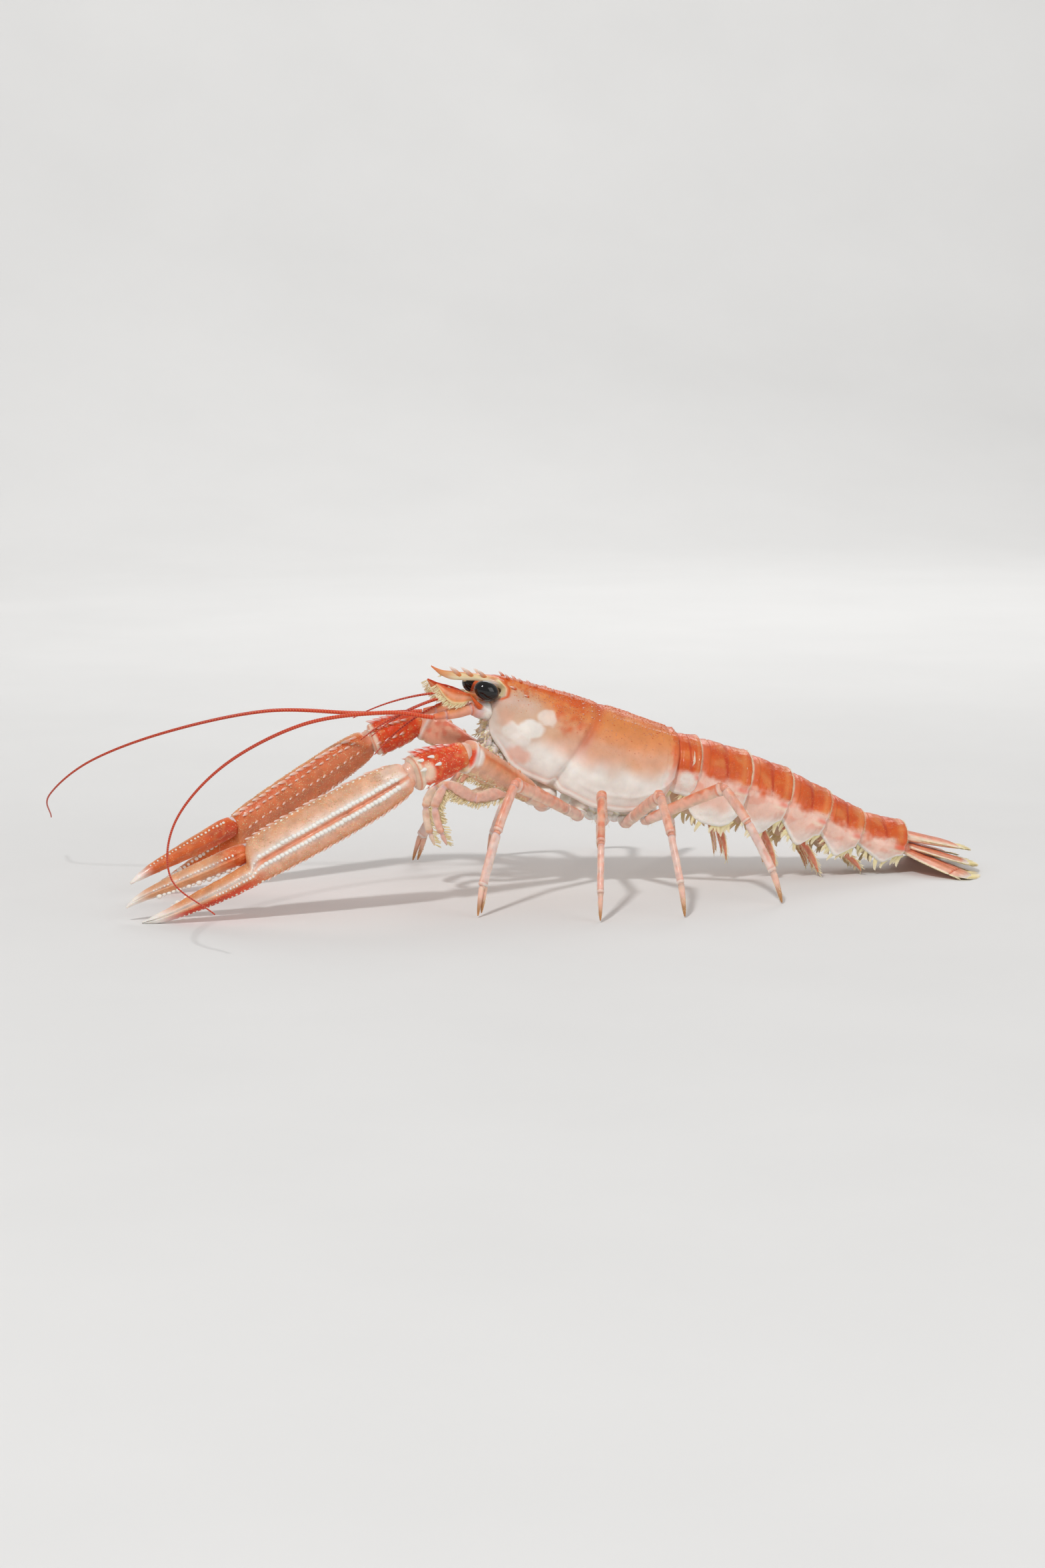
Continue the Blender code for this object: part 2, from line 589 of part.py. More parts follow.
def cheliped(name, side):
    """The great claw limb: merus with its hip, carpus, palm with the fixed finger, and finger."""
    pose = CHELIPED_POSE[name]
    size = pose["size"]
    hip = at(*CHELIPED_HIP)
    merus_way = way(*pose["merus"])
    carpus_way = way(*pose["carpus"])
    elbow = hip + merus_way * MERUS_LENGTH
    wrist = elbow + carpus_way * CARPUS_LENGTH * size
    length = CLAW_LENGTH * size
    fall = math.degrees(math.asin((wrist.z + 0.8 * size) / length))
    claw_way = way(pose["claw"][0], -fall)
    level = Vector((merus_way.y, -merus_way.x, 0)).normalized()
    bend = (merus_way + carpus_way).normalized()
    turn = (carpus_way + claw_way).normalized()

    shape = ((0.5, 6.0, 6.4), (4.0, 6.6, 7.0), (9.0, 5.4, 7.4), (10.5, 5.0, 7.0), (13.0, 5.8, 8.6), (19.0, 6.4, 9.8),
             (25.0, 7.0, 10.6), (31.0, 7.6, 11.2), (37.0, 8.2, 11.8), (43.0, 8.8, 12.0), (47.5, 8.4, 11.2))
    stations = [(hip + merus_way * s, oval(w, h, 10, 2.3)) for s, w, h in shape]
    stations.append((elbow - bend * GAP / 2, oval(7.6, 9.4, 10, 2.3)))
    rings = sweep(stations, level, last=bend)
    spikes = {(row, 2): (1.4, 1.0) for row in (5, 7, 9)} | {(row, 7): (1.2, 0.8) for row in (6, 8)}
    merus = skin("cheliped_merus_" + name, spiked(rings, spikes), side, "claw_beige")
    down = ((at(27.5, 6.0, 0.0), 1.5), (at(27.4, 6.2, -33.6), 1.95), (at(26.8, 7.6, -36.8), 1.8),
            (at(25.6, 9.4, -38.4), 1.1))
    fuse(merus, [coxa(down, 27.5, 4.5, side, "claw_beige")])

    shape = ((2.5, 8.6, 9.8), (6.0, 10.2, 11.2), (9.5, 11.4, 12.4), (13.0, 12.4, 13.2), (16.5, 12.8, 13.6), (19.5, 12.2, 13.0))
    stations = [(elbow + bend * GAP / 2, oval(7.6, 9.4, 10, 2.3))]
    stations += [(elbow + carpus_way * s * size, oval(w * size, h * size, 10, 2.4)) for s, w, h in shape]
    stations.append((wrist - turn * GAP / 2, oval(8.8 * size, 9.6 * size, 10, 2.3)))
    rings = sweep(stations, level, first=bend, last=turn)
    spikes = {(2, 1): 1.6, (4, 1): 1.8, (2, 3): 1.5, (4, 3): 1.8, (3, 4): 1.5, (5, 4): 1.8, (3, 2): 1.3, (5, 2): 1.5,
              (4, 9): 1.2}
    rings = spiked(rings, {key: (height, 1.6) for key, height in spikes.items()})
    skin("cheliped_carpus_" + name, rings, side, "claw_orange")

    lift = (Vector((0, 0, 1)) - claw_way * claw_way.z).normalized()
    outward = lift.cross(claw_way)
    outward = outward if outward.y > 0 else -outward
    roll = math.radians(pose["roll"])
    edge = -(lift * math.cos(roll) - outward * math.sin(roll))
    face = outward * math.cos(roll) + lift * math.sin(roll)
    palm_and_finger(name, side, wrist, claw_way, edge, face, turn)


def claw_outline(start, along, edge, face, axis, row):
    """A claw section: row is along, middle, half width, half thickness."""
    reach, middle, half, thick = row
    centre = start + along * reach + edge * middle
    points = []
    for share, depth in CLAW_OUTLINE:
        point = centre + edge * (half * share) + face * (thick * depth)
        slide = (centre - point).dot(axis) / along.dot(axis)
        points.append(point + along * slide)
    return points


def palm_and_finger(name, side, wrist, along, edge, face, turn):
    """The long prismatic palm with its rows of spines, and the finger hinged beside it."""
    pose = CHELIPED_POSE[name]
    size = pose["size"]
    start = wrist + turn * GAP / 2
    stops = sorted({row[0] for row in PALM} | {5.5 + 3.0 * k for k in range(20)} | set(BITE))
    stops = [s for k, s in enumerate(stops) if k == 0 or s - stops[k - 1] > 0.7]
    rings = []
    for s in stops:
        middle, half, thick = (value * size for value in read_row(PALM, s))
        rings.append(claw_outline(start, along, edge, face, turn if s == 0 else along, (s * size, middle, half, thick)))
    spikes = {}
    for column, (point, height) in enumerate(CLAW_RIDGES.items()):
        for row, s in enumerate(stops):
            if 5.0 < s < 64.0 and row % 2 == column % 2:
                spikes[(row, point)] = (height * size, 0.9)
    spikes |= {(stops.index(s), 0): (0.7 * size, 0.0) for s in BITE[1::2]}
    skin("cheliped_palm_" + name, spiked(rings, spikes), side, "claw_orange", floor=True)

    opening = math.radians(pose["open"])
    aim = (along * math.cos(opening) - edge * math.sin(opening)).normalized()
    hinge_edge = (edge * math.cos(opening) + along * math.sin(opening)).normalized()
    hinge = start + along * ((PALM_LENGTH + 1.4 + GAP) * size) - edge * (4.55 * size)
    rings = []
    stops = sorted({row[0] for row in FINGER} | {1.5, 8.0, 11.0, 17.0, 20.0, 23.0, 29.0})
    for k, stop in enumerate(stops):
        s, middle, half, thick = (value * size for value in [stop, *read_row(FINGER, stop)])
        rings.append(claw_outline(hinge, aim, hinge_edge, face, along if k == 0 else aim, (s, middle, half, thick)))
    spikes = {(k, 7): (0.7 * size, 0.0) for k in range(3, len(stops) - 3, 2)}
    skin("cheliped_finger_" + name, spiked(rings, spikes), side, "claw_beige", floor=True)


def mean_fall(drop, lengths):
    """How steeply a lower leg of these lengths falls to reach down by drop."""
    low, high = 5.0, 85.0
    for _ in range(40):
        middle = (low + high) / 2
        reach = sum(n * math.sin(math.radians(middle + lean)) for n, lean in zip(lengths, LOWER_LEG_CURVE))
        low, high = (middle, high) if reach < drop else (low, middle)
    return low


def walking_leg(pair, name, side):
    """A walking leg: hip and merus in one node, and carpus, propodus and dactyl in the next."""
    leg = LEGS[pair]
    out = leg["out"] + LEG_SWING[name][pair - 2]
    rise = leg["rise"] + LEG_FOLD[name][pair - 2]
    merus, *lower = leg["lengths"]
    hip = at(*leg["hip"])
    upward = way(out, rise)
    knee = hip + upward * merus
    fall = mean_fall(knee.z + 0.42, lower)
    ways = [way(out, -(fall + lean)) for lean in LOWER_LEG_CURVE]
    across = Vector((upward.y, -upward.x, 0)).normalized()
    bend = (upward + ways[0]).normalized()

    shape = ((0.5, 3.6, 3.8), (2.5, 4.0, 4.2), (8.0, 3.4, 3.9), (9.4, 3.0, 3.5), (11.5, 3.7, 4.5),
             (merus * 0.55, 3.9, 4.9), (merus - 6.0, 3.7, 4.5), (merus - 2.6, 3.6, 4.5))
    stations = [(hip + upward * s, oval(w, h, 8)) for s, w, h in shape]
    stations.append((knee - bend * GAP / 2, oval(3.3, 4.1, 8)))
    thigh = skin(f"leg_{pair}_upper_{name}", sweep(stations, across, last=bend), side, "leg_pink")
    aft, hip_out, hip_up = leg["hip"]
    plate = read_row(STERNUM, aft)[1]
    down = ((at(aft, 6.0, 0.0), 1.5), (at(aft, 6.6, plate * 0.55 + hip_up * 0.45), 2.0),
            (at(aft, 7.4, hip_up + 0.8), 1.8), (at(aft, hip_out, hip_up - 1.2), 1.0))
    fuse(thigh, [coxa(down, aft, leg["coxa"], side, "leg_pink")])

    carpus, propodus, dactyl = lower
    ankle = knee + ways[0] * carpus
    toe = ankle + ways[1] * propodus
    broad = 1.35 if pair == 2 else 1.0
    stations = [(knee + bend * GAP / 2, oval(3.3, 4.1, 8))]
    stations += [(knee + ways[0] * s, oval(w, h, 8)) for s, w, h in
                 ((2.6, 3.4, 4.3), (carpus * 0.5, 3.2, 3.9), (carpus - 1.6, 3.0, 3.7))]
    stations.append((ankle, oval(2.7, 3.3, 8)))
    stations += [(ankle + ways[1] * s, oval(w, h * broad, 8)) for s, w, h in
                 ((1.6, 2.9, 3.5), (propodus * 0.6, 2.7, 3.5), (propodus - 1.5, 2.6, 3.2))]
    stations.append((toe, oval(2.3, 2.7, 8)))
    end = ways[2]
    aside = across.cross(end).normalized() * (0.75 if leg["claw"] else 0.0)
    stations += [(toe + end * s + aside, oval(w, w, 8)) for s, w in
                 ((1.6, 1.9), (dactyl * 0.6, 1.4), (dactyl, 0.7))]
    rings = sweep(stations, across, first=bend)
    shin = skin(f"leg_{pair}_lower_{name}", rings, side, "leg_pink", floor=True)
    if leg["claw"]:
        finger = [(toe - ways[1] * 1.0 - aside * 0.9, oval(1.6, 1.4, 6)),
                  (toe + end * 3.0 - aside * 1.9, oval(1.6, 1.3, 6)),
                  (toe + end * (dactyl - 1.2) - aside * 1.5, oval(0.7, 0.6, 6))]
        fuse(shin, [skin("finger", sweep(finger, across), side, "leg_pink")])


def tail_axes():
    """The joints of the tail and the directions of its somites."""
    joints = [at(TAIL_JOINT[0], 0.0, TAIL_JOINT[1])]
    ways = []
    for somite in SOMITES:
        fall = math.radians(somite["fall"])
        ways.append(Vector((math.cos(fall), 0.0, -math.sin(fall))))
        joints.append(joints[-1] + ways[-1] * somite["length"])
    return joints, ways


def somite_outline(half, top, flap):
    """A tail section: the back's arch down to the flaps, then the belly between them."""
    line = arch(half, top, -flap, FLAP_TURN, FLAP_POINTS)
    edge = half * math.sin(math.radians(FLAP_TURN))
    belly = min(BELLY, flap - 1.2)
    right = [(edge - 1.2, 0.6 - flap), (edge - 2.2, -belly)]
    line += [(-out, up) for out, up in right] + [(0.0, -belly - 0.3)] + right[::-1]
    return line


def tail():
    """The six somites of the tail, each a back plate with its side flaps and belly."""
    joints, ways = tail_axes()
    across = Vector((0, 1, 0))
    for k, somite in enumerate(SOMITES):
        before = ways[k - 1] if k else way(180, -BODY_PITCH)
        after = ways[k + 1] if k + 1 < len(ways) else ways[k]
        first = (before + ways[k]).normalized()
        last = (ways[k] + after).normalized()
        start = joints[k] + first * GAP / 2
        end = joints[k + 1] - last * GAP / 2
        following = SOMITES[min(k + 1, len(SOMITES) - 1)]
        stations = []
        for share, deep in somite["outline"]:
            swell = 0.955 if share == 0.0 else 1.0
            half = somite["half_width"] + (following["half_width"] - somite["half_width"]) * share * 0.8
            top = somite["top"] + (following["top"] - somite["top"]) * share * 0.8
            stations.append((start.lerp(end, share), somite_outline(half * swell, top * swell, somite["flap"] * deep)))
        name = f"tail_somite_{k + 1}"
        skin(name, sweep(stations, across, first=first, last=last), 1, "shell_orange")


def pleopod(pair, name, side):
    """A swimming leg: short base and two pointed blades that lean back."""
    joints, ways = tail_axes()
    lean, length = PLEOPODS[pair]
    axis = ways[pair - 1]
    down = Vector((axis.z, 0, -axis.x))
    root = joints[pair - 1].lerp(joints[pair], 0.45) + down * (BELLY + GAP + 0.4) + Vector((0, 5.8, 0))
    angle = math.radians(lean)
    along = axis * math.cos(angle) + down * math.sin(angle)
    across = Vector((0, 1, 0))
    splay = (across + axis.cross(across) * 0.8).normalized()
    base = [(root, oval(2.6, 2.6, 6)), (root + (along + down) * 1.6, oval(3.0, 2.6, 6)),
            (root + (along + down) * 1.6 + along * 4.0, oval(2.2, 1.8, 6))]
    body = skin(f"pleopod_{pair}_{name}", sweep(base, across, first=down), side, "fin_rose")
    blades = []
    for shift, share in ((1.5, 1.0), (-1.8, 0.9)):
        foot = root + (along + down) * 1.6 + along * 2.5 + across * (shift * 0.45)
        reach = (length - 5.0) * share
        blade = []
        for share, wide, thick, bow in PLEOPOD_BLADE:
            point = foot + along * (reach * share) + across * (shift * min(share * 2, 0.8)) + along.cross(across) * bow
            blade.append((point, oval(wide, thick, 6)))
        blades.append(skin("blade", sweep(blade, splay), side, "fin_rose"))
    fuse(body, blades)


def fan():
    """The telson and the four plates of the tail fan, which slope down to the floor."""
    joints, ways = tail_axes()
    hinge = joints[-1] + ways[-1] * 1.2
    across = Vector((0, 1, 0))
    lowest = FAN["exopod"]
    reach = URO_PLATE[-1][0] * lowest["length"]
    fall = math.degrees(math.asin((hinge.z + lowest["lift"] + 0.5) / reach))
    along = way(180, TELSON_RISE - fall)
    stations = [(hinge + Vector((0, 0, 3.4)) + along * s, oval(w, h, 12, 3.0)) for s, w, h in TELSON_PLATE]
    skin("telson", sweep(stations, across), 1, "fin_rose")
    for kind, plate in FAN.items():
        for name, side in SIDES.items():
            along = way(180 - plate["out"], plate["rise"] - fall)
            start = hinge + Vector((0, plate["start"], plate["lift"]))
            level = Vector((-along.y, along.x, 0)).normalized()
            stations = [(start + along * s * plate["length"], oval(w * plate["width"], h, 10, 2.4)) for s, w, h in URO_PLATE]
            skin(f"fan_{kind}_{name}", sweep(stations, level), side, "fin_rose", floor=True)


def build():
    """Every piece of the animal, head to tail."""
    carapace()
    thorax()
    for name, side in SIDES.items():
        eye(name, side)
        antennule(name, side)
        antenna(name, side)
        maxilliped(name, side)
        cheliped(name, side)
        for pair in LEGS:
            walking_leg(pair, name, side)
        for pair in PLEOPODS:
            pleopod(pair, name, side)
    tail()
    fan()


for leftover in list(bpy.data.objects):
    bpy.data.objects.remove(leftover)
ANIMAL = bpy.data.collections.new("norway_lobster")
bpy.context.scene.collection.children.link(ANIMAL)
build()
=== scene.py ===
"""A Norway lobster at life size: wet shell, spines, beads and hairs around its fixed frame.

Lengths are in millimetres until a mesh is made. The animal faces -X, its left side is towards
-Y and +Z is up. A limb is worked out with its second coordinate pointing away from the middle
of the body, and the side (-1 left, +1 right) turns that into Y.
"""

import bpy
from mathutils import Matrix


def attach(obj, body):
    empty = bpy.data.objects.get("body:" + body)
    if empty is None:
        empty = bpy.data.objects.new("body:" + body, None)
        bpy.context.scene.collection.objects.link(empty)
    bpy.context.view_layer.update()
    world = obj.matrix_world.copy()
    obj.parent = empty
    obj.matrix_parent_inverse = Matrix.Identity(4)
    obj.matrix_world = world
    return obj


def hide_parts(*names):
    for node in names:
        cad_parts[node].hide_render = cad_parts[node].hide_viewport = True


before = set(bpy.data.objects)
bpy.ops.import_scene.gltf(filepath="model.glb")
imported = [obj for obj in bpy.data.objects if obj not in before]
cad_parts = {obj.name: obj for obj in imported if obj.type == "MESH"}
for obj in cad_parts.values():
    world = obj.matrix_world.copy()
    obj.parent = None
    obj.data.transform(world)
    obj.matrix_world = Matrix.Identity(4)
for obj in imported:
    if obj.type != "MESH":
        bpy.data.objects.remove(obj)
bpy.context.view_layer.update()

import math

import bmesh
import bpy
import numpy as np
from bpy.props import FloatProperty, FloatVectorProperty, IntProperty, PointerProperty
from mathutils import Vector, noise

bl_info = {
    "name": "Norway Lobster",
    "version": (1, 0, 0),
    "blender": (4, 5, 0),
    "location": "View3D > Sidebar > Lobster",
    "description": "Makes the shell, limbs, spines and hairs of a life-size Norway lobster",
    "category": "Object",
}

MM = 0.001
SIDES = {"left": -1, "right": 1}
LEVEL = np.array((0, 1, 0))

# The orbit is the zero of the body frame: aft, out, up.
BODY_PITCH = math.radians(15)
ORBIT_X = -14.68
ORBIT_Z = 77

# Carapace: aft of the orbit, top line, half width, lower margin, roof of the hollow beneath.
CARAPACE = (
    (-26.2, 2.7, 0.35, 2.2, 2.3), (-24.5, 2.3, 0.6, 1.3, 1.5), (-21.5, 2, 1, -0.1, 0.2),
    (-18, 2.4, 1.4, -0.6, -0.3), (-12.5, 3.2, 1.9, 0.3, 0.6), (-7, 3.9, 2.7, 1.2, 1.5),
    (-3, 4.4, 4.2, 1.2, 1.5), (-1.2, 4.7, 5.8, 0.6, 1.4), (-0.2, 4.8, 8.6, -6, 2.4),
    (1, 4.9, 9.8, -13.5, 1.6), (6, 5, 11.4, -21.5, -2), (14, 4.9, 13.4, -28, -10),
    (24, 4.6, 14.8, -30, -17), (34, 4.2, 15.6, -32, -20), (46, 3.2, 16.2, -34.4, -21),
    (57, 2.2, 16.2, -33.6, -21), (66, 1.2, 15.6, -30, -18.5), (70, 0.7, 15, -27, -16.5),
    (73, 0, 14.4, -22, -13),
)
ARCH_TURN = math.radians(130)
SHELL_WALL = 1.3
GROOVE_AFT = 41
GROOVE_LEAN = 13
GROOVE_DEPTH = 1.3
GROOVE_WIDTH = 2
KEEL_TURN = math.radians(18.6)
LOW_KEEL_TURN = math.radians(31)
BEAK_TURN = math.radians(55.7)
BEAK_SPINES = (-15.9, -10.9)
KEEL_SPINES = (3, 8, 14, 21, 29)
FRONT_EDGE = (  # height, how far the front edge is drawn aft there: the notch of the orbit
    (-25, 0), (-16, -1.9), (-10, -1.4), (-5.9, -1.9), (-3.2, -0.4), (-1.4, 2.1),
    (1.1, 2.4), (3, 0.7), (4.3, 0), (6, 0),
)

# Thorax floor: aft, half width of the plate, height of the plate.
STERNUM = (
    (0.6, 3.6, -11.5), (2, 4.2, -16), (6, 4.6, -22.5), (14, 6.2, -27), (24, 8.2, -29.5),
    (34, 8.6, -31), (46, 8.8, -31.5), (57, 8.8, -31), (66, 8.6, -28.5), (70, 8, -26),
    (72.6, 7, -22.5),
)
# Limbs of the mouth: points (aft, out, up) with width and height.
MOUTH_LIMBS = {
    "jaw": ((5.5, 3, -19.5, 3.6, 3.8), (1.2, 3.4, -22.6, 3.8, 4), (-1.6, 3.4, -26.2, 3, 3.2),
            (-3.8, 3.2, -29.2, 1.6, 1.8)),
    "palp": ((14, 3.6, -25.8, 3.2, 3.4), (11.5, 3.8, -30.6, 3.2, 3.6), (7.2, 3.9, -33.8, 2.8, 3.2),
             (2.6, 4, -34.4, 2.6, 3), (-1.6, 4, -32.9, 2.4, 2.8), (-3.6, 3.9, -34.2, 2, 2.2),
             (-4.7, 3.8, -37.2, 1, 1.1)),
    "blade": ((15.5, 5.2, -26.8, 1.6, 2.2), (13, 6.5, -31, 1.4, 2.8), (6, 6.9, -31.5, 1.2, 2.5),
              (-2, 7.1, -30.4, 1, 1.7), (-8.9, 7.3, -28.8, 0.5, 0.5)),
}

MOUTH_LOBES = (  # aft, out, up, width, lean
    (0.6, 3, -12.6, 3.2, 1.6), (0.4, 4.4, -16, 3.4, 2), (1.8, 3.6, -19.6, 3.8, 2.4),
    (4.6, 5.6, -21.6, 3.4, 1.6), (7.4, 4.8, -24.6, 3.8, 1.2), (10, 6.6, -26, 3, 0.8),
)
MOUTH_LEG = (  # length, way out, rise, share of the lean, width, height
    (3, 3, -40, 0, 4.3, 4.5), (7, 4, -15, 1, 4.3, 5.1), (8, 4, -13, 1, 3.7, 4.3), (2, 4, 0, 0, 3.5, 3.8),
    (5, 4, 26, 1, 3.9, 4.9), (5.5, 4, 28, 1, 3.2, 3.8), (2.6, 2, -12, 0, 2.8, 3.2), (5, 0, -58, 0, 3.1, 3.7),
    (3.6, 0, -74, 0, 2.5, 2.8), (5.5, 0, -98, -1, 2.6, 3), (5, 0, -108, -1, 2, 2.2), (4.5, 0, -112, -1, 0.5, 0.6),
)

EYE_AT = (-5.6, 9.4, -1.4)
EYE_LENGTH = 9.8
EYE_HEIGHT = 7.4

# Walking legs: hip, coxa radius, way out, rise, and the lengths of merus, carpus, propodus, dactyl.
LEGS = {
    2: ((41.5, 9, -38.8), 3.5, 46, 20, (46, 20, 21, 11)), 3: ((51.6, 9, -38.6), 3.5, 70, 22, (42, 20, 20, 10)),
    4: ((61, 8.9, -37.4), 3.3, 97, 22, (40, 17, 20, 12)), 5: ((68.6, 8.6, -34.8), 3, 126, 24, (38, 16, 21, 12)),
}
# Small turns of each leg, pair by pair, that keep the stance from being a mirror image.
LEG_SWING = {"left": (-5, 3, -4, 3), "right": (4, -4, 4, -3)}
LEG_FOLD = {"left": (2, -1, 1, 0), "right": (-2, 2, -1, 2)}
LOWER_LEG_CURVE = (-9, 0, 13)

CHELIPED_HIP = (27.5, 9.6, -36.6)
# Degrees out and rise of merus and carpus, degrees out of the claw, its roll and opening, and its size.
CHELIPED_POSE = {
    "left": dict(merus=(33, 27), carpus=(12, -16), claw=-4, roll=33, open=7, size=1),
    "right": dict(merus=(30, 31), carpus=(9, -20), claw=-9, roll=30, open=9, size=0.96),
}
MERUS_LENGTH = 51
MERUS = ((0, 0.6), (0.02, 0.8), (0.05, 0.92), (0.2, 0.97), (0.8, 1), (0.9, 1.04), (0.96, 1), (1, 0.74))
CARPUS_LENGTH = 22
CARPUS = (  # along, width, height
    (0, 8, 9), (1.2, 8.6, 9.6), (4, 9.4, 10.4), (9.5, 11.4, 12.4), (15, 12.6, 13.4), (18.2, 12.8, 13.6),
    (19.4, 11.9, 12.7), (20.2, 12.3, 13.1), (21.2, 11.6, 12.2), (21.7, 9.4, 10.2),
)
CARPUS_RINGS = 56
CARPUS_SPINES = (  # column, first and last place, how many, length, colour
    (3, 12.5, 18.6, 2, 2.4, "ivory"), (9, 14, 18.2, 2, 2.2, "ivory"), (15, 4.5, 18.4, 6, 3, "flame"),
    (20, 6, 17.5, 5, 2.8, "flame"), (27, 5.2, 18.8, 6, 2.8, "back"), (34, 8, 17.8, 4, 2.2, "back"),
    (45, 6.5, 18, 4, 2, "amber"), (57, 16.5, 18.6, 2, 2, "ivory"),
)
CLAW_LENGTH = 111
PALM_LENGTH = 65
PALM = (  # along, middle of the section, half width and half thickness
    (0, 0, 4.4, 4), (3, 0, 6.2, 5.2), (10, 0, 7.7, 5.8), (25, 0, 8.7, 6),
    (42, 0, 9, 6), (56, 0, 8.8, 5.7), (63.6, 0.3, 8.2, 5.3), (66, 1.4, 7, 5.1),
    (68, 4.1, 4.4, 4.8), (76, 4, 4.1, 4.3), (88, 3.3, 3.5, 3.5), (99, 2.4, 2.5, 2.6),
    (106, 1.3, 1.6, 1.7), (111, 0, 0.4, 0.5),
)
PALM_RINGS = ((0, 4, 9), (4.6, 62, 96), (62.5, 70, 18), (70.6, 111, 66))  # first, last, how many
FINGER = (  # as for the palm
    (-1.6, 0, 2.6, 3), (0, 0, 3.5, 4), (4, 0, 3.9, 4.3), (14, 0.2, 3.7, 3.8), (26, 0.3, 3.1, 3),
    (36, 0.4, 2.2, 2.2), (43, 1, 1.3, 1.4), (47, 2, 0.4, 0.5),
)
# Places round the outline with fine granules: first, last, how many.
GRIT_PLACES = ((0.2, 2.6, 40), (5.4, 6.8, 18), (7.2, 12.8, 60))
CLAW_OUTLINE = (  # share of half width (towards the fixed finger) and half thickness (outer face)
    (-1, 0), (-0.82, 0.62), (-0.35, 0.94), (0.16, 1.02), (0.36, 0.88), (0.58, 0.86), (0.86, 0.5),
    (1, 0), (0.84, -0.56), (0.45, -0.92), (-0.1, -0.9), (-0.5, -0.92), (-0.84, -0.58),
)

# Tail: each somite's length, fall, half width, top, depth of its side flap, and flap outline.
TAIL_JOINT = (73.3, -14)  # aft, up
SMALL_FLAP = ((0, 0.9), (0.3, 1), (0.7, 1), (1, 0.95))
ROUND_FLAP = ((0, 0.72), (0.08, 0.86), (0.2, 0.97), (0.45, 1.02), (0.65, 1), (0.82, 0.9), (0.93, 0.72), (1, 0.5))
POINTED_FLAP = ((0, 0.46), (0.1, 0.58), (0.25, 0.74), (0.42, 0.92), (0.54, 1.03), (0.6, 1.05), (0.66, 1),
                (0.76, 0.82), (0.88, 0.6), (1, 0.5))
SOMITES = [dict(zip(("length", "fall", "half", "top", "flap", "outline"), row)) for row in (
    (9, 14, 13.6, 13.6, 8.5, SMALL_FLAP), (21, 17, 15.4, 14, 16.5, ROUND_FLAP),
    (17.5, 21, 15, 13.2, 14, POINTED_FLAP), (17.5, 25, 14.2, 12.2, 12.5, POINTED_FLAP),
    (16, 24, 13.2, 10.8, 10.6, POINTED_FLAP), (19, 16, 11.8, 8.8, 7.6, POINTED_FLAP))]
# Share of a tail ring's length, and of its width there.
RING_SWELL = ((0, 0.93), (0.1, 0.955), (0.17, 0.995), (0.6, 1), (0.93, 1.02), (0.98, 1.01), (1, 0.985))
BELLY = 5.6
FLAP_TURN = math.radians(125)
# Swimming legs: degrees below the line of the ring, length. Blade: share of its length, width, thickness, bow.
PLEOPODS = {2: (56, 26), 3: (46, 25), 4: (33, 22), 5: (15, 18)}
PLEOPOD_BLADE = ((0, 1.2, 1.1, 0), (0.3, 3.4, 1, 0.7), (0.65, 3, 0.8, 0.6), (0.9, 1.4, 0.6, -0.1), (1, 0.3, 0.3, -0.6))

TELSON_RISE = 4.5
# Plates of the fan: along, width, thickness.
TELSON_PLATE = ((0, 11, 3.4), (4, 13.4, 3.3), (13, 15.4, 2.6), (21, 15.6, 1.8), (24.4, 13.8, 1), (25.6, 11, 0.5))
URO_PLATE = ((0, 3.6, 1.8), (3, 6, 1.9), (9, 10.4, 1.6), (17, 13.2, 1.2), (23, 12.4, 0.8), (26.6, 8.8, 0.5),
             (27.5, 5, 0.35))
FAN = {
    "endopod": dict(lift=0.3, start=3.2, out=19, rise=2.2, width=0.92, length=1, ribs=(-0.15, 0.2), cut=1.5),
    "exopod": dict(lift=-1.9, start=5.6, out=41, rise=0, width=1.05, length=1.04, ribs=(-0.35, 0, 0.3), cut=0.78),
}

PEDUNCLE = (  # aft, out, up, thickness
    (-0.3, 5.2, -8.7, 5), (-3.2, 5.7, -8.6, 6.7), (-6.2, 6.2, -8.9, 6.5), (-8.6, 6.6, -9.3, 4.6),
    (-10, 6.8, -9.9, 4), (-13.2, 7.2, -11.2, 4.6), (-17, 7.8, -13, 4), (-18.8, 8, -13.8, 3.1),
    (-22.4, 8.5, -15.3, 2.2),
)
SCALE = (  # aft, out, up, width, thickness
    (-9.2, 7, -5.4, 1.4, 1), (-11.4, 7.4, -5.5, 3.2, 1.1), (-14.2, 7.8, -5.9, 5.2, 1.1),
    (-17.2, 8, -6.1, 6, 1), (-20.2, 7.9, -5.3, 4.4, 0.9), (-22.8, 7.6, -4, 1.9, 0.7),
    (-24.4, 7.4, -3.3, 0.5, 0.4),
)
# The long feelers as steps from the end of their base, and their half width at root and tip.
FLAGELLUM = {
    "left": ((-20, 4, 3), (-52, 13, 1), (-84, 30, -10), (-106, 52, -26), (-112, 76, -42), (-100, 94, -52)),
    "right": ((-22, 8, -1), (-56, 16, 0), (-92, 27, -8), (-119, 46, -21), (-132, 68, -37), (-128, 94, -50)),
}
FLAGELLUM_THICK = (0.85, 0.26)
RING_STEP = 1.1  # from ring to ring of a long feeler


def srgb(code):
    """Linear colour of a six digit code."""
    parts = [int(code[k:k + 2], 16) / 255 for k in (0, 2, 4)]
    return tuple(c / 12.92 if c <= 0.04045 else ((c + 0.055) / 1.055) ** 2.4 for c in parts)


def tone(name):
    """A colour of the panel by its name, or a mixed colour as it is."""
    return np.array(getattr(bpy.context.scene.lobster_colours, name)) if isinstance(name, str) else name


def sizes():
    """The sizes of the panel."""
    return bpy.context.scene.lobster_sizes


# Shapes.

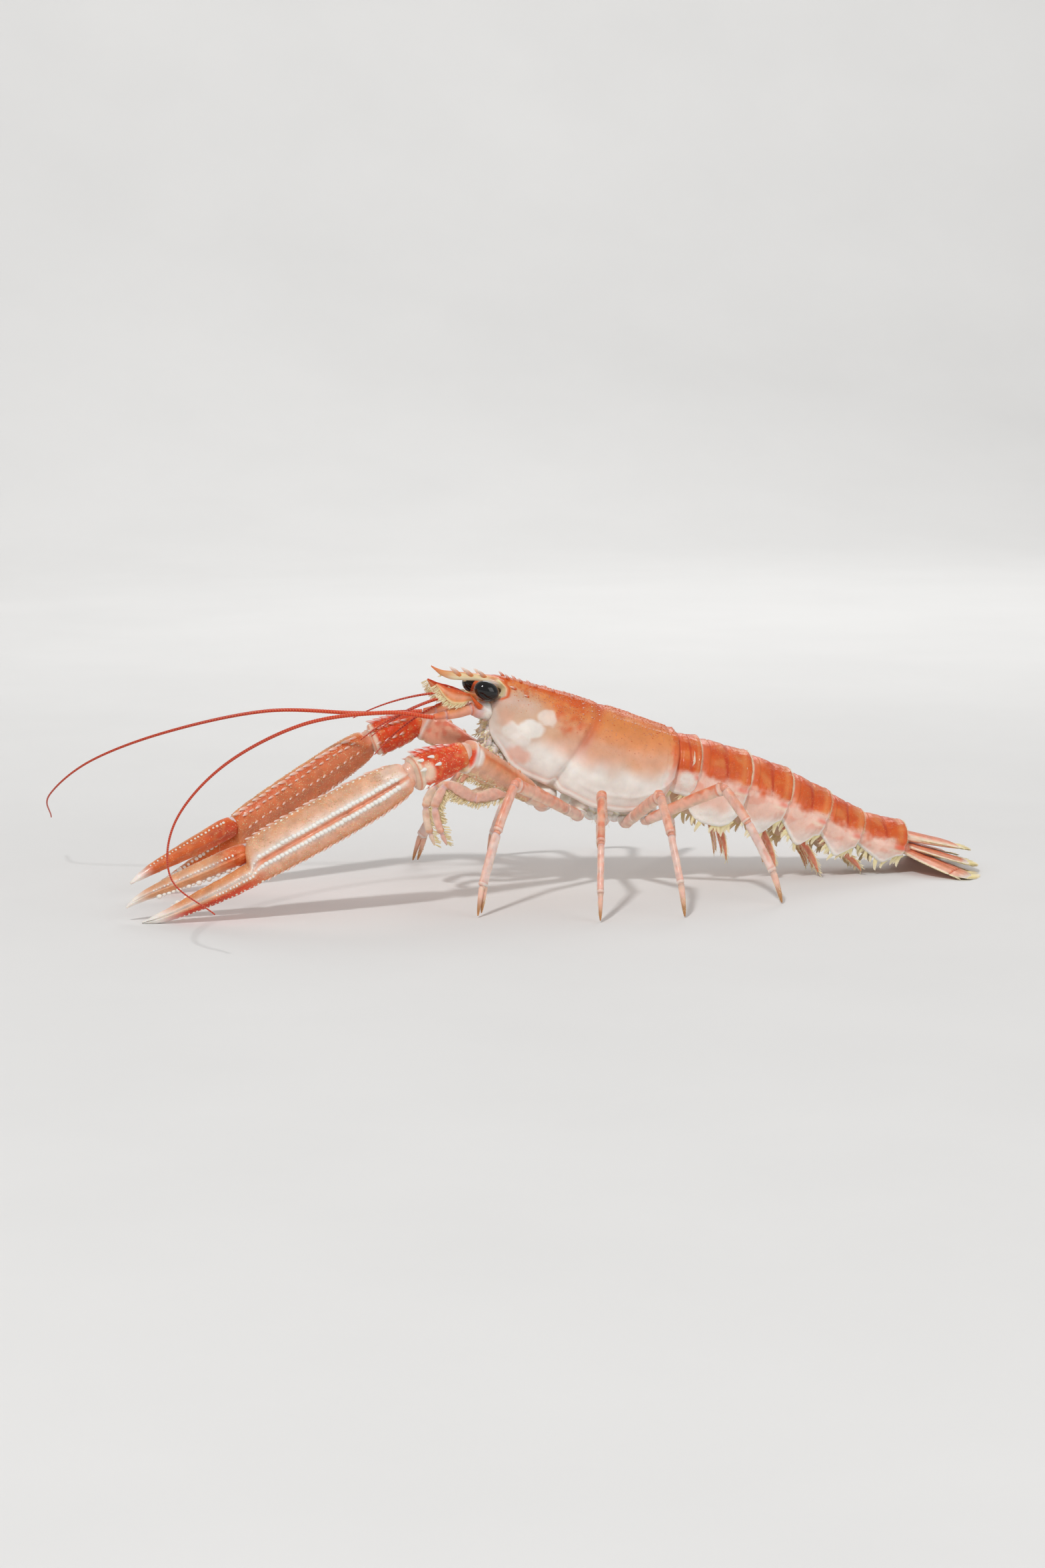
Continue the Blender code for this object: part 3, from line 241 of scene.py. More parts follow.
def unit(v):
    """Vectors of length one."""
    v = np.asarray(v, float)
    return v / np.maximum(np.linalg.norm(v, axis=-1, keepdims=True), 1e-12)


def at(aft, out, up):
    """Points of the body frame, in the part's own frame."""
    aft, out, up = np.broadcast_arrays(*(np.asarray(v, float) for v in (aft, out, up)))
    c, s = math.cos(BODY_PITCH), math.sin(BODY_PITCH)
    return np.stack((ORBIT_X + aft * c + up * s, out, ORBIT_Z - aft * s + up * c), -1)


def body_points(rows):
    """Points of the body frame from rows that begin with aft, out and up."""
    return at(*np.array([row[:3] for row in rows]).T)


def way(out, rise):
    """A direction: degrees out from straight ahead, and degrees above the horizontal."""
    out, rise = math.radians(out), math.radians(rise)
    return np.array((-math.cos(out) * math.cos(rise), math.sin(out) * math.cos(rise), math.sin(rise)))


def smooth_rows(rows, along):
    """The values of a table at distances along, on smooth curves that never swing past the rows."""
    table = np.array(rows, float)
    x, y = table[:, 0], table[:, 1:]
    h = np.diff(x)[:, None]
    d = np.diff(y, axis=0) / h
    slope = np.vstack((d[:1], np.zeros((len(x) - 2, y.shape[1])), d[-1:]))
    low, high = 2 * h[1:] + h[:-1], h[1:] + 2 * h[:-1]
    same = d[:-1] * d[1:] > 0
    with np.errstate(divide="ignore", invalid="ignore"):
        slope[1:-1] = np.where(same, (low + high) / (low / d[:-1] + high / d[1:]), 0)
    along = np.clip(np.asarray(along, float), x[0], x[-1])
    k = np.clip(np.searchsorted(x, along, side="right") - 1, 0, len(x) - 2)
    t, gap = ((along - x[k]) / h[k, 0])[..., None], h[k]
    return ((2 * t ** 3 - 3 * t ** 2 + 1) * y[k] + (t ** 3 - 2 * t ** 2 + t) * gap * slope[k]
            + (3 * t ** 2 - 2 * t ** 3) * y[k + 1] + (t ** 3 - t ** 2) * gap * slope[k + 1])


def cubic(a, b, c, d, t):
    """Points between b and c on the smooth curve through four marks."""
    return 0.5 * (2 * b + (c - a) * t + (2 * a - 5 * b + 4 * c - d) * t ** 2 + (3 * b - a - 3 * c + d) * t ** 3)


def smooth_route(marks, step):
    """Evenly spread points on a smooth curve through the marks, each one's place, and the lengths."""
    marks = np.asarray(marks, float)
    ends = np.vstack((2 * marks[0] - marks[1], marks, 2 * marks[-1] - marks[-2]))
    t = np.linspace(0, 1, 20, endpoint=False)[:, None]
    dense, place = [], []
    for k in range(len(marks) - 1):
        a, b, c, d = ends[k:k + 4]
        dense.append(cubic(a, b, c, d, t))
        place.append(k + t[:, 0])
    dense, place = np.vstack(dense + [marks[-1:]]), np.concatenate(place + [[len(marks) - 1]])
    reach = np.concatenate(([0], np.cumsum(np.linalg.norm(np.diff(dense, axis=0), axis=1))))
    goal = np.linspace(0, reach[-1], max(int(reach[-1] / step), 3) + 1)
    points = np.stack([np.interp(goal, reach, dense[:, k]) for k in range(3)], 1)
    return points, np.interp(goal, reach, place), goal


def turns(count):
    """Angles once round an outline."""
    return np.linspace(0, 2 * math.pi, count, endpoint=False)


def squared(wave, squareness):
    """A sine or cosine made fuller, for outlines between an oval and a box."""
    return np.sign(wave) * np.abs(wave) ** (2 / squareness)


def oval(width, height, sides, squareness=2):
    """Rounded outlines as (across, above) pairs, one for each width."""
    x, z = squared(np.cos(turns(sides)), squareness), squared(np.sin(turns(sides)), squareness)
    return np.stack((np.multiply.outer(width, x) / 2, np.multiply.outer(height, z) / 2), -1)


def sweep(points, outlines, across):
    """Rings along the points, each square to the path."""
    steps = unit(np.diff(points, axis=0))
    axes = np.vstack((steps[:1], unit(steps[:-1] + steps[1:]), steps[-1:]))
    wide = unit(across - axes * (axes @ across)[:, None])
    above = np.cross(wide, axes) * (1 if np.cross(across, axes[0])[2] >= 0 else -1)
    return points[:, None] + wide[:, None] * outlines[..., :1] + above[:, None] * outlines[..., 1:]


def tube(marks, table, across, sides=20, step=0.6, squareness=2):
    """Rings of a limb piece through the marks, with (width, height) at each, and each ring's place and distance."""
    points, place, along = smooth_route(marks, step)
    width, height = smooth_rows([(k, *row) for k, row in enumerate(table)], place).T
    rings = sweep(points, oval(width, height, sides, squareness), np.asarray(across, float))
    return rings, place[:, None], along[:, None]


def grid_normals(rings):
    """Outward normals of a grid of points that runs round each ring."""
    around = np.roll(rings, -1, axis=1) - np.roll(rings, 1, axis=1)
    along = np.gradient(rings, axis=0)
    normals = unit(np.cross(around, along))
    away = rings - rings.mean(axis=1, keepdims=True)
    return normals * (1 if (normals * away).sum() > 0 else -1)


def closed_inside(out, up, walls):
    """The outer face, (out, up), closed by its inner wall; walls go from one rim to the middle."""
    walls = walls + [(-x, z) for x, z in walls[:-1][::-1]]
    return np.hstack((out, np.stack([x for x, _ in walls], 1))), np.hstack((up, np.stack([z for _, z in walls], 1)))


def from_rim(face):
    """How far each point of an outer face is from the nearer rim."""
    reach = np.hstack((np.zeros((len(face), 1)), np.cumsum(np.linalg.norm(np.diff(face, axis=1), axis=2), axis=1)))
    return np.minimum(reach, reach[:, -1:] - reach)


def widen(face, rings):
    """Values of an outer face, with zeros for the inner wall."""
    return np.hstack((face, np.zeros((len(rings), rings.shape[1] - face.shape[1]))))


def outward(rings, i, j):
    """The direction of a ring's point from the middle of the ring."""
    return unit(rings[i, j] - rings[i].mean(axis=-2))


def raise_by(rings, height):
    """The rings with each point moved out along the surface's normal."""
    return rings + grid_normals(rings) * height[..., None]


# Colours over a surface.

def step(x, low, high):
    """A smooth step from 0 at low to 1 at high."""
    t = np.clip((x - low) / (high - low), 0, 1)
    return t * t * (3 - 2 * t)


def bump(x, middle, width):
    """A smooth bump of height one."""
    return np.exp(-((x - middle) / width) ** 2)


def blob(x, y, middle, radii, soft=0.4):
    """A soft-edged oval patch."""
    far = np.hypot((x - middle[0]) / radii[0], (y - middle[1]) / radii[1])
    return 1 - step(far, 1 - soft, 1 + soft)


def cloud(points, size, seed):
    """Smooth noise between -1 and 1 at each point, with features of that size."""
    flat = points.reshape(-1, 3) / size + seed * 17.3
    values = np.fromiter((noise.noise(Vector(p)) for p in flat), float, len(flat))
    return np.clip(values * 1.6, -1, 1).reshape(points.shape[:-1])


def paint(grid, base, *layers):
    """A base colour over a grid of points, with (colour, mask) layers over it."""
    colours = np.broadcast_to(tone(base), (*grid.shape[:2], 3)).copy()
    for name, mask in layers:
        mask = np.clip(np.broadcast_to(mask, grid.shape[:2]), 0, 1)[..., None]
        colours += (tone(name) - colours) * mask
    return colours


# Meshes.

def mark(mesh, name, values):
    """Keeps a value, a vector or the tint for every point of a mesh."""
    kind, field = ("FLOAT", "value") if values.ndim == 1 else ("FLOAT_VECTOR", "vector")
    if name == "tint":
        kind, field, values = "FLOAT_COLOR", "color", np.hstack((values, np.ones((len(values), 1))))
    mesh.attributes.new(name, kind, "POINT").data.foreach_set(field, values.astype(np.float32).ravel())


class Skin:
    """Closed surfaces with their colours and graininess, gathered into one piece."""

    def __init__(self):
        self.points, self.faces, self.tints, self.grains, self.count = [], [], [], [], 0

    def add(self, rings, tint, grain=0.5, side=1, swell=0.3):
        """A surface over the rings, with a rounded cap at both ends."""
        rings = rings * np.array((1, side, 1))
        n, m = rings.shape[:2]
        tint = np.broadcast_to(tint, (n, m, 3)).reshape(-1, 3)
        grain = np.broadcast_to(grain, (n, m)).reshape(-1)
        ends = []
        for end, nearer in ((0, 1), (-1, -2)):
            middle = rings[end].mean(axis=0)
            away = unit(middle - rings[nearer].mean(axis=0))
            ends.append(middle + away * np.linalg.norm(rings[end] - middle, axis=1).mean() * swell)
        rings = np.maximum(rings, (-1e9, -1e9, 0))
        self.points.append(np.vstack((rings.reshape(-1, 3), np.maximum(ends, (-1e9, -1e9, 0)))))
        self.tints.append(np.vstack((tint, tint[:m].mean(axis=0), tint[-m:].mean(axis=0))))
        self.grains.append(np.concatenate((grain, [grain[0], grain[-1]])))
        index = np.arange(n * m).reshape(n, m) + self.count
        turned = np.roll(index, -1, axis=1)
        self.faces += np.stack((index[:-1], turned[:-1], turned[1:], index[1:]), -1).reshape(-1, 4).tolist()
        first, last = self.count + n * m, self.count + n * m + 1
        self.faces += np.stack((turned[0], index[0], np.full(m, first)), -1).tolist()
        self.faces += np.stack((index[-1], turned[-1], np.full(m, last)), -1).tolist()
        self.count += n * m + 2

    def make(self, name, material, slot, *nodes):
        """The piece's object, standing for those nodes of the frame."""
        mesh = bpy.data.meshes.new(name)
        mesh.from_pydata((np.vstack(self.points) * MM).tolist(), [], self.faces)
        bm = bmesh.new()
        bm.from_mesh(mesh)
        bmesh.ops.recalc_face_normals(bm, faces=bm.faces)
        bm.to_mesh(mesh)
        bm.free()
        mark(mesh, "tint", np.vstack(self.tints))
        mark(mesh, "grain", np.concatenate(self.grains))
        mesh.shade_smooth()
        mesh.materials.append(Workshop.get(material))
        return settle(placed(name, mesh), slot, *nodes)


def settle(piece, slot, *nodes):
    """Puts a finished piece on the frame."""
    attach(piece, "root")
    if nodes:
        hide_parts(*nodes)
    return piece


class Scatter:
    """Roots of small like things: place, direction, lean, size (width, depth, length) and colour."""

    def __init__(self):
        self.rows = []

    def add(self, points, aim, lean, size, side=1, tint="straw"):
        """Adds one or many roots; each argument is one value or one for each root."""
        points = np.atleast_2d(points)
        flip = np.array((1, side, 1))
        rest = (np.broadcast_to(np.asarray(v, float), points.shape) for v in (aim, lean, size, tone(tint)))
        parts = [points * flip, *rest]
        parts[1], parts[2] = parts[1] * flip, parts[2] * flip
        self.rows.append(np.hstack(parts))

    def make(self, name, tree, material, slot, *nodes, **values):
        """One plain mesh with a copy of the tree's shape on each root."""
        rows = np.vstack(self.rows)
        rows[:, 5] = np.maximum(rows[:, 5], (0.15 - rows[:, 2]) / rows[:, 11])
        rows[:, 8] = np.maximum(rows[:, 8], 0) if rows[:, 2].min() < 3 else rows[:, 8]
        mesh = bpy.data.meshes.new(name)
        mesh.from_pydata((rows[:, :3] * MM).tolist(), [], [])
        low, high = rows[:, :3].min(axis=0), rows[:, :3].max(axis=0)
        spot = (rows[:, :3] - low) / np.maximum(high - low, 1e-6)
        spot = np.stack((spot[:, 0] * 0.98, (spot[:, 1] + spot[:, 2]) * 0.49, spot[:, 2]), 1)
        for key, data in (("aim", rows[:, 3:6]), ("lean", rows[:, 6:9]), ("size", rows[:, 9:12] * MM), ("spot", spot)):
            mark(mesh, key, data)
        mark(mesh, "tint", rows[:, 12:15])
        return settle(grown(name, mesh, tree, material, values), slot, *nodes)


def grown(name, mesh, tree, material, values):
    """The plain mesh that a Geometry Nodes tree makes of this one."""
    piece = placed(name, mesh)
    modifier = piece.modifiers.new("grow", "NODES")
    modifier.node_group = tree = Workshop.get(tree)
    for item in tree.interface.items_tree:
        if item.in_out == "INPUT" and item.name in values:
            modifier[item.identifier] = values[item.name]
        elif item.in_out == "INPUT" and item.name == "Material":
            modifier[item.identifier] = Workshop.get(material)
    bpy.context.view_layer.update()
    made = bpy.data.meshes.new_from_object(piece.evaluated_get(bpy.context.evaluated_depsgraph_get()))
    piece.modifiers.remove(modifier)
    piece.data = made
    made.name = name
    bpy.data.meshes.remove(mesh)
    for spare in ("aim", "lean", "size", "spot"):
        if spare in made.attributes:
            made.attributes.remove(made.attributes[spare])
    return piece


# Geometry Nodes trees.

def feed(tree, node, sockets):
    """Gives the inputs of a node a value or a link."""
    for key, value in sockets.items():
        if isinstance(value, bpy.types.NodeSocket):
            tree.links.new(value, node.inputs[key])
        else:
            node.inputs[key].default_value = value
    return node


def add(tree, kind, sockets=None, output=0, **props):
    """The output of a new node with its properties and inputs set."""
    made = tree.nodes.new(kind)
    for key, value in props.items():
        setattr(made, key, value)
    outputs = feed(tree, made, sockets or {}).outputs
    return outputs if output is None else outputs[output]


def new_tree(name, kind, inputs, outputs):
    """A node group with its sockets: name, type and value."""
    tree = bpy.data.node_groups.new(name, kind)
    for way_in, rows in (("INPUT", inputs), ("OUTPUT", outputs)):
        for label, socket, *value in rows:
            made = tree.interface.new_socket(label, in_out=way_in, socket_type="NodeSocket" + socket)
            if value:
                made.default_value = value[0]
    return tree, tree.nodes.new("NodeGroupInput").outputs, tree.nodes.new("NodeGroupOutput").inputs


def grower(name, source, *inputs):
    """A Geometry Nodes tree that turns its source into a mesh of one material."""
    return new_tree(name, "GeometryNodeTree", ((source, "Geometry"), ("Material", "Material"), *inputs),
                    (("Geometry", "Geometry"),))


def named(tree, name):
    """A vector kept on the mesh, by name."""
    return add(tree, "GeometryNodeInputNamedAttribute", {"Name": name}, "Attribute", data_type="FLOAT_VECTOR")


def store(tree, geometry, name, value, kind="FLOAT", domain="POINT"):
    """The geometry with an attribute of that name."""
    sockets = {"Geometry": geometry, "Name": name, "Value": value}
    return add(tree, "GeometryNodeStoreNamedAttribute", sockets, "Geometry", data_type=kind, domain=domain)


def figure(tree, operation, *values):
    """A sum of the tree."""
    return add(tree, "ShaderNodeMath", dict(enumerate(values)), operation=operation)


def spread(tree, value, low=0, high=1, to_low=0, to_high=1, **props):
    """A value taken from one range to another."""
    return add(tree, "ShaderNodeMapRange", {"Value": value, "From Min": low, "From Max": high, "To Min": to_low,
               "To Max": to_high}, **props)


def round_body(tree, line, sides, radius, thick):
    """A closed round body along a line."""
    round_ = add(tree, "GeometryNodeCurvePrimitiveCircle", {"Resolution": sides, "Radius": radius})
    sockets = {"Curve": line, "Profile Curve": round_, "Scale": thick, "Fill Caps": True}
    return add(tree, "GeometryNodeCurveToMesh", sockets)


def finish(tree, geometry, ins, outs, smooth=True):
    """Ends the tree with smooth faces and the material."""
    smooth = add(tree, "GeometryNodeSetShadeSmooth", {"Geometry": geometry, "Shade Smooth": smooth})
    tree.links.new(add(tree, "GeometryNodeSetMaterial", {"Geometry": smooth, "Material": ins["Material"]}), outs[0])
    return tree


def plant(tree, shape, ins, outs):
    """Puts a copy of the shape on every root, turned to its aim, and ends the tree."""
    shape = store(tree, shape, "patch", add(tree, "GeometryNodeInputPosition"), "FLOAT_VECTOR")
    aimed = add(tree, "FunctionNodeAlignRotationToVector", {"Vector": named(tree, "aim")}, axis="Z")
    turned = add(tree, "FunctionNodeAlignRotationToVector", {"Rotation": aimed, "Vector": named(tree, "lean")},
                 axis="X", pivot_axis="Z")
    placed = add(tree, "GeometryNodeInstanceOnPoints", {"Points": ins["Roots"], "Instance": shape, "Rotation": turned,
                 "Scale": named(tree, "size")})
    real = add(tree, "GeometryNodeRealizeInstances", {"Geometry": placed})
    patch = add(tree, "ShaderNodeVectorMath", {0: named(tree, "patch"), "Scale": 0.003}, operation="SCALE")
    spot = add(tree, "ShaderNodeVectorMath", {0: named(tree, "spot"), 1: patch}, operation="ADD")
    return finish(tree, store(tree, real, "OFBake", spot, "FLOAT2", "CORNER"), ins, outs, ins["Smooth"])


def thorn_tree():
    """Curved tapering thorns: spines with a high number of sides, hairs with three."""
    tree, ins, outs = grower("thorns", "Roots", ("Sides", "Int", 8), ("Steps", "Int", 5), ("Bend", "Float", 1.0),
                             ("Fullness", "Float", 0.8), ("Smooth", "Bool", True))
    line = add(tree, "GeometryNodeCurveQuadraticBezier", {"Resolution": ins["Steps"], "Start": (0, 0, 0),
               "Middle": (0, 0, 0.55), "End": add(tree, "ShaderNodeCombineXYZ", {"X": ins["Bend"], "Z": 1})})
    along = add(tree, "GeometryNodeSplineParameter", output="Factor")
    thick = figure(tree, "ADD", figure(tree, "POWER", figure(tree, "SUBTRACT", 1, along), ins["Fullness"]), 0.04)
    return plant(tree, round_body(tree, store(tree, line, "tip", along), ins["Sides"], 0.5, thick), ins, outs)


def bead_tree():
    """Rounded beads, sunk by a third of their height."""
    tree, ins, outs = grower("beads", "Roots", ("Sides", "Int", 8), ("Rings", "Int", 6), ("Smooth", "Bool", True))
    ball = add(tree, "GeometryNodeMeshUVSphere", {"Segments": ins["Sides"], "Rings": ins["Rings"], "Radius": 0.5})
    high = add(tree, "ShaderNodeSeparateXYZ", {0: add(tree, "GeometryNodeInputPosition")}, "Z")
    return plant(tree, store(tree, ball, "tip", figure(tree, "ADD", high, 0.5)), ins, outs)


def lash_tree():
    """A long feeler: rings along a tapering curve, with the distance along kept for its bands."""
    tree, ins, outs = grower("lash", "Path", ("Sides", "Int", 10), ("Root", "Float", 0.001), ("End", "Float", 0.0003),
                             ("Ring", "Float", 0.001), ("Relief", "Float", 0.1))
    line = add(tree, "GeometryNodeMeshToCurve", {"Mesh": ins["Path"]})
    fine = figure(tree, "DIVIDE", ins["Ring"], 3)
    line = add(tree, "GeometryNodeResampleCurve", {"Curve": line, "Length": fine}, mode="LENGTH")
    spline = add(tree, "GeometryNodeSplineParameter", output=None)
    line = store(tree, store(tree, line, "along", spline["Length"]), "tip", spline["Factor"])
    taper = spread(tree, spline["Factor"], to_low=ins["Root"], to_high=ins["End"])
    around = figure(tree, "MULTIPLY", figure(tree, "DIVIDE", spline["Length"], ins["Ring"]), 2 * math.pi)
    ridge = figure(tree, "MULTIPLY_ADD", figure(tree, "SINE", around), ins["Relief"], 1.0)
    body = round_body(tree, line, ins["Sides"], 1, figure(tree, "MULTIPLY", taper, ridge))
    return finish(tree, add(tree, "GeometryNodeRealizeInstances", {"Geometry": body}), ins, outs)


# Materials.

def object_place(tree):
    """Where a surface point is, on the piece itself."""
    return add(tree, "ShaderNodeTexCoord", output="Object")


def painted(tree, name, output="Fac"):
    """What is painted on the piece under that name."""
    return add(tree, "ShaderNodeAttribute", None, output, attribute_name=name)


def noisy(tree, place, scale, detail=2, output="Fac"):
    """Soft noise over the surface."""
    return add(tree, "ShaderNodeTexNoise", {"Vector": place, "Scale": scale, "Detail": detail}, output)


def blend(tree, mask, under, over):
    """One colour over another."""
    return add(tree, "ShaderNodeMix", {0: mask, 6: under, 7: over}, 2, data_type="RGBA")


def vectors(tree, operation, sockets):
    """A sum of vectors or colours."""
    return add(tree, "ShaderNodeVectorMath", sockets, operation=operation)


def rgba(name):
    """A colour of the panel for a node."""
    return (*tone(name), 1)


def blank(name):
    """A new material with its tree and its shader."""
    material = bpy.data.materials.new(name)
    material.use_nodes = True
    return material, material.node_tree, material.node_tree.nodes["Principled BSDF"]


def mottle_group():
    """Shell colour varied in soft clouds, with small flecks; Film is a noise for gloss."""
    tree, ins, outs = new_tree("shell mottle", "ShaderNodeTree", (
        ("Color", "Color", (0.8, 0.4, 0.2, 1)), ("Cloud Size", "Float", 0.004), ("Depth", "Float", 0.15),
        ("Fleck Color", "Color", (0.9, 0.7, 0.5, 1)), ("Fleck Size", "Float", 0.0008), ("Flecks", "Float", 0.3),
        ("Grain", "Float", 0.5)), (("Color", "Color"), ("Film", "Float")))
    place = object_place(tree)
    clouds = noisy(tree, place, figure(tree, "DIVIDE", 1, ins["Cloud Size"]), 3)
    low, high = figure(tree, "SUBTRACT", 1, ins["Depth"]), figure(tree, "ADD", 1, ins["Depth"])
    shaded = vectors(tree, "SCALE", {0: ins["Color"], "Scale": spread(tree, clouds, 0.3, 0.7, low, high)})
    often = figure(tree, "DIVIDE", 1, ins["Fleck Size"])
    cells = add(tree, "ShaderNodeTexVoronoi", {"Vector": place, "Scale": often}, None)
    some = figure(tree, "LESS_THAN", add(tree, "ShaderNodeSeparateColor", {0: cells["Color"]}), ins["Flecks"])
    mask = figure(tree, "MULTIPLY", figure(tree, "MULTIPLY", spread(tree, cells["Distance"], 0.42, 0.18), some),
                  figure(tree, "MULTIPLY", ins["Grain"], 0.6))
    feed(tree, outs[0].node, {"Color": blend(tree, mask, shaded, ins["Fleck Color"]), "Film": noisy(tree, place, 420)})
    return tree


def granule_group():
    """Low round granules where Grain is high, over faint wrinkles; Mask marks their tops."""
    tree, ins, outs = new_tree("shell granules", "ShaderNodeTree", (("Size", "Float", 0.0007), ("Grain", "Float", 0.5)),
                               (("Height", "Float"), ("Mask", "Float")))
    place = object_place(tree)
    bent = vectors(tree, "SCALE", {0: noisy(tree, place, 300, output="Color"), "Scale": 0.0006})
    cells = add(tree, "ShaderNodeTexVoronoi", {"Vector": vectors(tree, "ADD", {0: place, 1: bent}),
                "Scale": figure(tree, "DIVIDE", 1, ins["Size"])}, None)
    reach = spread(tree, add(tree, "ShaderNodeSeparateColor", {0: cells["Color"]}, 1), 0, 1, 0.15, 0.5)
    mask = spread(tree, cells["Distance"], reach, 0, interpolation_type="SMOOTHSTEP")
    mask = figure(tree, "MULTIPLY", mask, ins["Grain"])
    height = figure(tree, "MULTIPLY_ADD", noisy(tree, place, 900, 4), 0.25, mask)
    feed(tree, outs[0].node, {"Height": height, "Mask": mask})
    return tree


def shell_material(name, fleck="straw", flecks=0.25, fleck_size=0.0007, clouds=0.004, depth=0.14, granule=0.0007,
                   relief=0.12, rough=(0.27, 0.5), coat=0.15, soft=0.2, tip=None, tip_from=0.35):
    """Wet shell: painted tint, mottling, granules, a glossy film and light that soaks in a little."""
    material, tree, shader = blank(name)
    tint, grain = painted(tree, "tint", "Color"), painted(tree, "grain")
    if tip:
        tint = blend(tree, spread(tree, painted(tree, "tip"), tip_from), tint, rgba(tip))
    looks = {"Color": tint, "Cloud Size": clouds, "Depth": depth, "Fleck Color": rgba(fleck), "Fleck Size": fleck_size,
             "Flecks": flecks, "Grain": grain}
    mottle = add(tree, "ShaderNodeGroup", looks, None, node_tree=Workshop.get("mottle"))
    granules = add(tree, "ShaderNodeGroup", {"Size": granule, "Grain": grain}, None, node_tree=Workshop.get("granules"))
    bright = figure(tree, "MULTIPLY", granules["Mask"], 0.25)
    feed(tree, shader, {
        "Base Color": blend(tree, bright, mottle["Color"], rgba(fleck)),
        "Roughness": spread(tree, mottle["Film"], 0.3, 0.7, *rough),
        "Normal": add(tree, "ShaderNodeBump", {"Strength": 1, "Distance": relief * MM, "Height": granules["Height"]}),
        "Subsurface Weight": soft, "Subsurface Radius": (1, 0.45, 0.25), "Subsurface Scale": 0.0015,
        "Specular IOR Level": 0.35, "Coat Weight": coat, "Coat Roughness": 0.12})
    material.diffuse_color = rgba("back")
    return material


def eye_material():
    """Glossy black, with the faint facets of the eye."""
    material, tree, shader = blank("eye glass")
    place = object_place(tree)
    cells = add(tree, "ShaderNodeTexVoronoi", {"Vector": place, "Scale": 9000}, "Distance", feature="DISTANCE_TO_EDGE")
    feed(tree, shader, {
        "Base Color": rgba("night"), "Roughness": spread(tree, noisy(tree, place, 500), 0, 1, 0.04, 0.12),
        "Normal": add(tree, "ShaderNodeBump", {"Strength": 0.25, "Distance": 0.00001, "Height": cells}),
        "Coat Weight": 0.15, "Coat Roughness": 0.03})
    return material


def lash_material():
    """Feeler banded in dark and light rings, orange at the root and crimson further out."""
    material, tree, shader = blank("feeler rings")
    base = blend(tree, spread(tree, painted(tree, "tip"), 0, 0.4), rgba("flame"), rgba("crimson"))
    wave = figure(tree, "SINE", figure(tree, "MULTIPLY", painted(tree, "along"), 2 * math.pi / (RING_STEP * MM)))
    ring = spread(tree, figure(tree, "MULTIPLY_ADD", wave, 0.5, 0.5), 0.72, 0.95, 0, 0.55)
    gloss = spread(tree, noisy(tree, object_place(tree), 700), 0, 1, 0.25, 0.5)
    feed(tree, shader, {"Base Color": blend(tree, ring, base, rgba("amber")), "Roughness": gloss,
                        "Subsurface Weight": 0.1, "Subsurface Scale": 0.001})
    return material


class Workshop:
    """Materials and trees, made when first asked for."""

    made = {}

    @classmethod
    def get(cls, name):
        """A material or tree by its short name."""
        if name not in cls.made:
            cls.made[name] = cls.recipes[name]()
        return cls.made[name]


def wet(name, **values):
    """A recipe for one wet shell material."""
    return lambda: shell_material(name, **values)


Workshop.recipes = {
    "mottle": mottle_group, "granules": granule_group, "thorns": thorn_tree, "beads": bead_tree, "lash": lash_tree,
    "eye": eye_material, "feeler": lash_material,
    "back": wet("wet back shell", clouds=0.006, depth=0.09, relief=0.16, granule=0.0008, fleck="amber", flecks=0.35),
    "limb": wet("wet limb shell", clouds=0.003, relief=0.08, granule=0.0005, flecks=0.12, coat=0.1, soft=0.3),
    "claw": wet("wet claw shell", clouds=0.004, relief=0.12, granule=0.0006, flecks=0.3),
    "mouth": wet("wet mouth shell", clouds=0.0025, relief=0.06, fleck="ivory", rough=(0.25, 0.45), soft=0.25),
    "fin": wet("thin fan shell", clouds=0.003, relief=0.06, fleck="ivory", flecks=0.2, soft=0.25),
    "spine": wet("spine horn", relief=0.02, flecks=0, depth=0.06, soft=0.08, tip="ivory", tip_from=0.2),
    "bead": wet("shell bead", relief=0.03, flecks=0, depth=0.05, rough=(0.2, 0.35), soft=0.08, tip="ivory"),
    "grit": wet("shell granule", relief=0.02, flecks=0, depth=0.1, rough=(0.2, 0.4), soft=0.08),
    "hair": wet("hair", relief=0.02, flecks=0, depth=0.06, rough=(0.4, 0.6), coat=0, soft=0, tip="cream", tip_from=0.3),
}


def tuft(hairs, rng, rings, rows, columns, count, size, side=1, aim=0, out=0, along=0, loose=0.2, lean=None,
         tint="straw"):
    """Hairs on random points of a piece's rows and columns, aimed one way, outwards or along the piece."""
    i, j = rng.choice(rows, count), rng.choice(columns, count)
    axis = unit(np.gradient(rings.mean(axis=1), axis=0))[i]
    aim = unit(aim + outward(rings, i, j) * out + axis * along + rng.normal(0, loose, (count, 3)))
    hairs.add(rings[i, j], aim, axis if lean is None else lean, rng.uniform(0.65, 1.15, (count, 1)) * size, side, tint)


def thorns(spines, rings, i, j, along_way, size, side, tint, sunk, lift=1):
    """Spines on points of a piece, raked along it."""
    out = outward(rings, i, j)
    spines.add(rings[i, j] - out * sunk, unit(out * lift + along_way), along_way, size, side, tint)


def comb(hairs, name, slot, bend=2.0, steps=3):
    """The hairs of a piece, at the length and share that the panel gives."""
    rows = np.vstack(hairs.rows)
    kept = np.random.default_rng(3).random(len(rows)) < sizes().hair_share
    hairs.rows = [rows[kept]]
    hairs.rows[0][:, 11] *= sizes().hair_length
    return hairs.make(name, "thorns", "hair", slot, Sides=4, Steps=steps, Bend=bend,
                      Fullness=0.7, Smooth=False)


